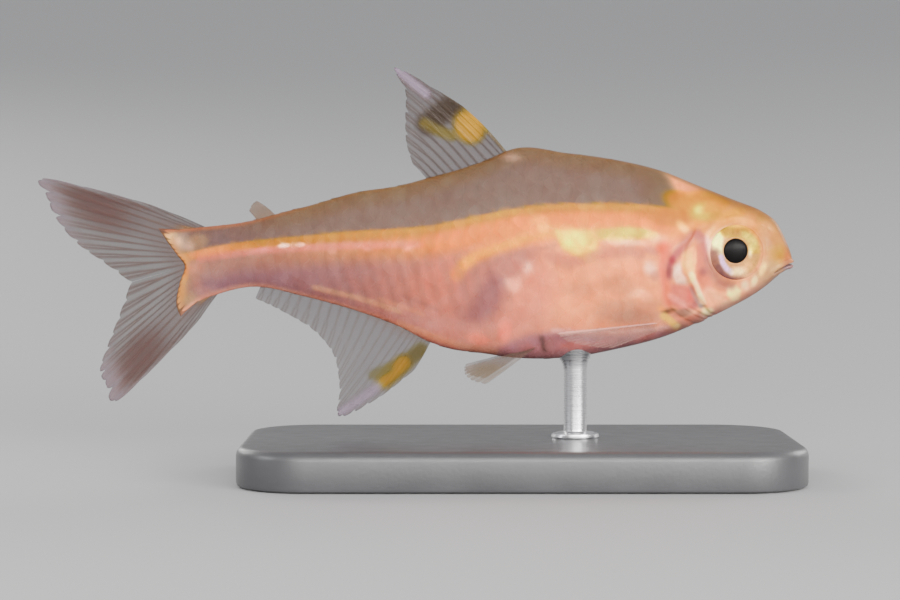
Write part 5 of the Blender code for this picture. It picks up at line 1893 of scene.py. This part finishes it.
rise = np.linspace(0, BOWL_CUT, BOWL_RINGS)[1:] * math.pi / 2
bowl_radius = np.concatenate([[0.01, 0.03, BOWL_FLAT], BOWL_FLAT + BOWL_SIZE * np.sin(rise)])
bowl_height = np.concatenate([[0, 0, 0], BOWL_SIZE * (1 - np.cos(rise))])
turn = circle(BOWL_POINTS)
bowl = np.stack(np.broadcast_arrays(
    bowl_radius[:, None] * np.cos(turn), bowl_radius[:, None] * np.sin(turn),
    bowl_height[:, None] - FLOOR_GAP), -1)
bowl_points = np.vstack([bowl.reshape(-1, 3), (0, 0, -FLOOR_GAP)])
bowl_faces = np.vstack([grid_faces(len(bowl_radius), BOWL_POINTS)[:, ::-1],
                        fan(len(bowl_points) - 1, np.arange(BOWL_POINTS))])

floor_material, floor_tree, floor_shader = new_material("pale_floor")
pale = drifting(floor_tree, 3.0, (0.33, 0.33, 0.335, 1), (0.35, 0.35, 0.355, 1))
set_sockets(floor_tree, floor_shader, Base_Color=pale, Roughness=0.75)

floor_mesh = bpy.data.meshes.new("floor")
corners = [face[:3] if face[2] == face[3] else face for face in bowl_faces.tolist()]
floor_mesh.from_pydata(bowl_points.tolist(), [], corners)
floor_mesh.materials.append(floor_material)
floor_mesh.polygons.foreach_set("use_smooth", [True] * len(floor_mesh.polygons))
floor = bpy.data.objects.new("floor", floor_mesh)
bpy.context.scene.collection.objects.link(floor)
print("floor of", len(floor_mesh.polygons), "faces")


# %% Lamps
LAMP_SPREAD = math.radians(120)
WARM, COOL = (1.0, 0.98, 0.95), (0.97, 0.98, 1.0)
# place, width, height, watts, colour
LAMPS = {
    "front_lamp": ((0.03, -0.32, 0.125), 0.46, 0.12, 0.60, WARM),
    "low_lamp": ((0.04, -0.20, 0.045), 0.30, 0.04, 0.27, WARM),
    "head_lamp": ((0.19, -0.20, 0.064), 0.16, 0.06, 0.46, WARM),
    "side_lamp": ((-0.30, -0.10, 0.12), 0.16, 0.10, 0.18, COOL),
    "rear_left_lamp": ((-0.22, 0.26, 0.15), 0.22, 0.14, 0.36, WARM),
    "rear_right_lamp": ((0.30, 0.24, 0.15), 0.22, 0.14, 0.36, WARM),
}


def soft_lamp(name, at, width, height, watts, colour):
    """A flat lamp that looks at the fish and isn't seen itself."""
    data = bpy.data.lights.new(name, "AREA")
    data.shape, data.spread = "RECTANGLE", LAMP_SPREAD
    data.size, data.size_y = width, height
    data.energy, data.color = watts, colour
    lamp = bpy.data.objects.new(name, data)
    lamp.location = at
    lamp.visible_camera = False
    lamp.rotation_euler = (PICTURE_MIDDLE - Vector(at)).to_track_quat("-Z", "Y").to_euler()
    bpy.context.scene.collection.objects.link(lamp)


for name, lamp in LAMPS.items():
    soft_lamp(name, *lamp)

world = bpy.data.worlds.new("soft_world")
world.use_nodes = True
set_sockets(world.node_tree, world.node_tree.nodes["Background"], Color=(0.90, 0.91, 0.93, 1), Strength=0.9)
bpy.context.scene.world = world
print("lamps:", ", ".join(LAMPS))
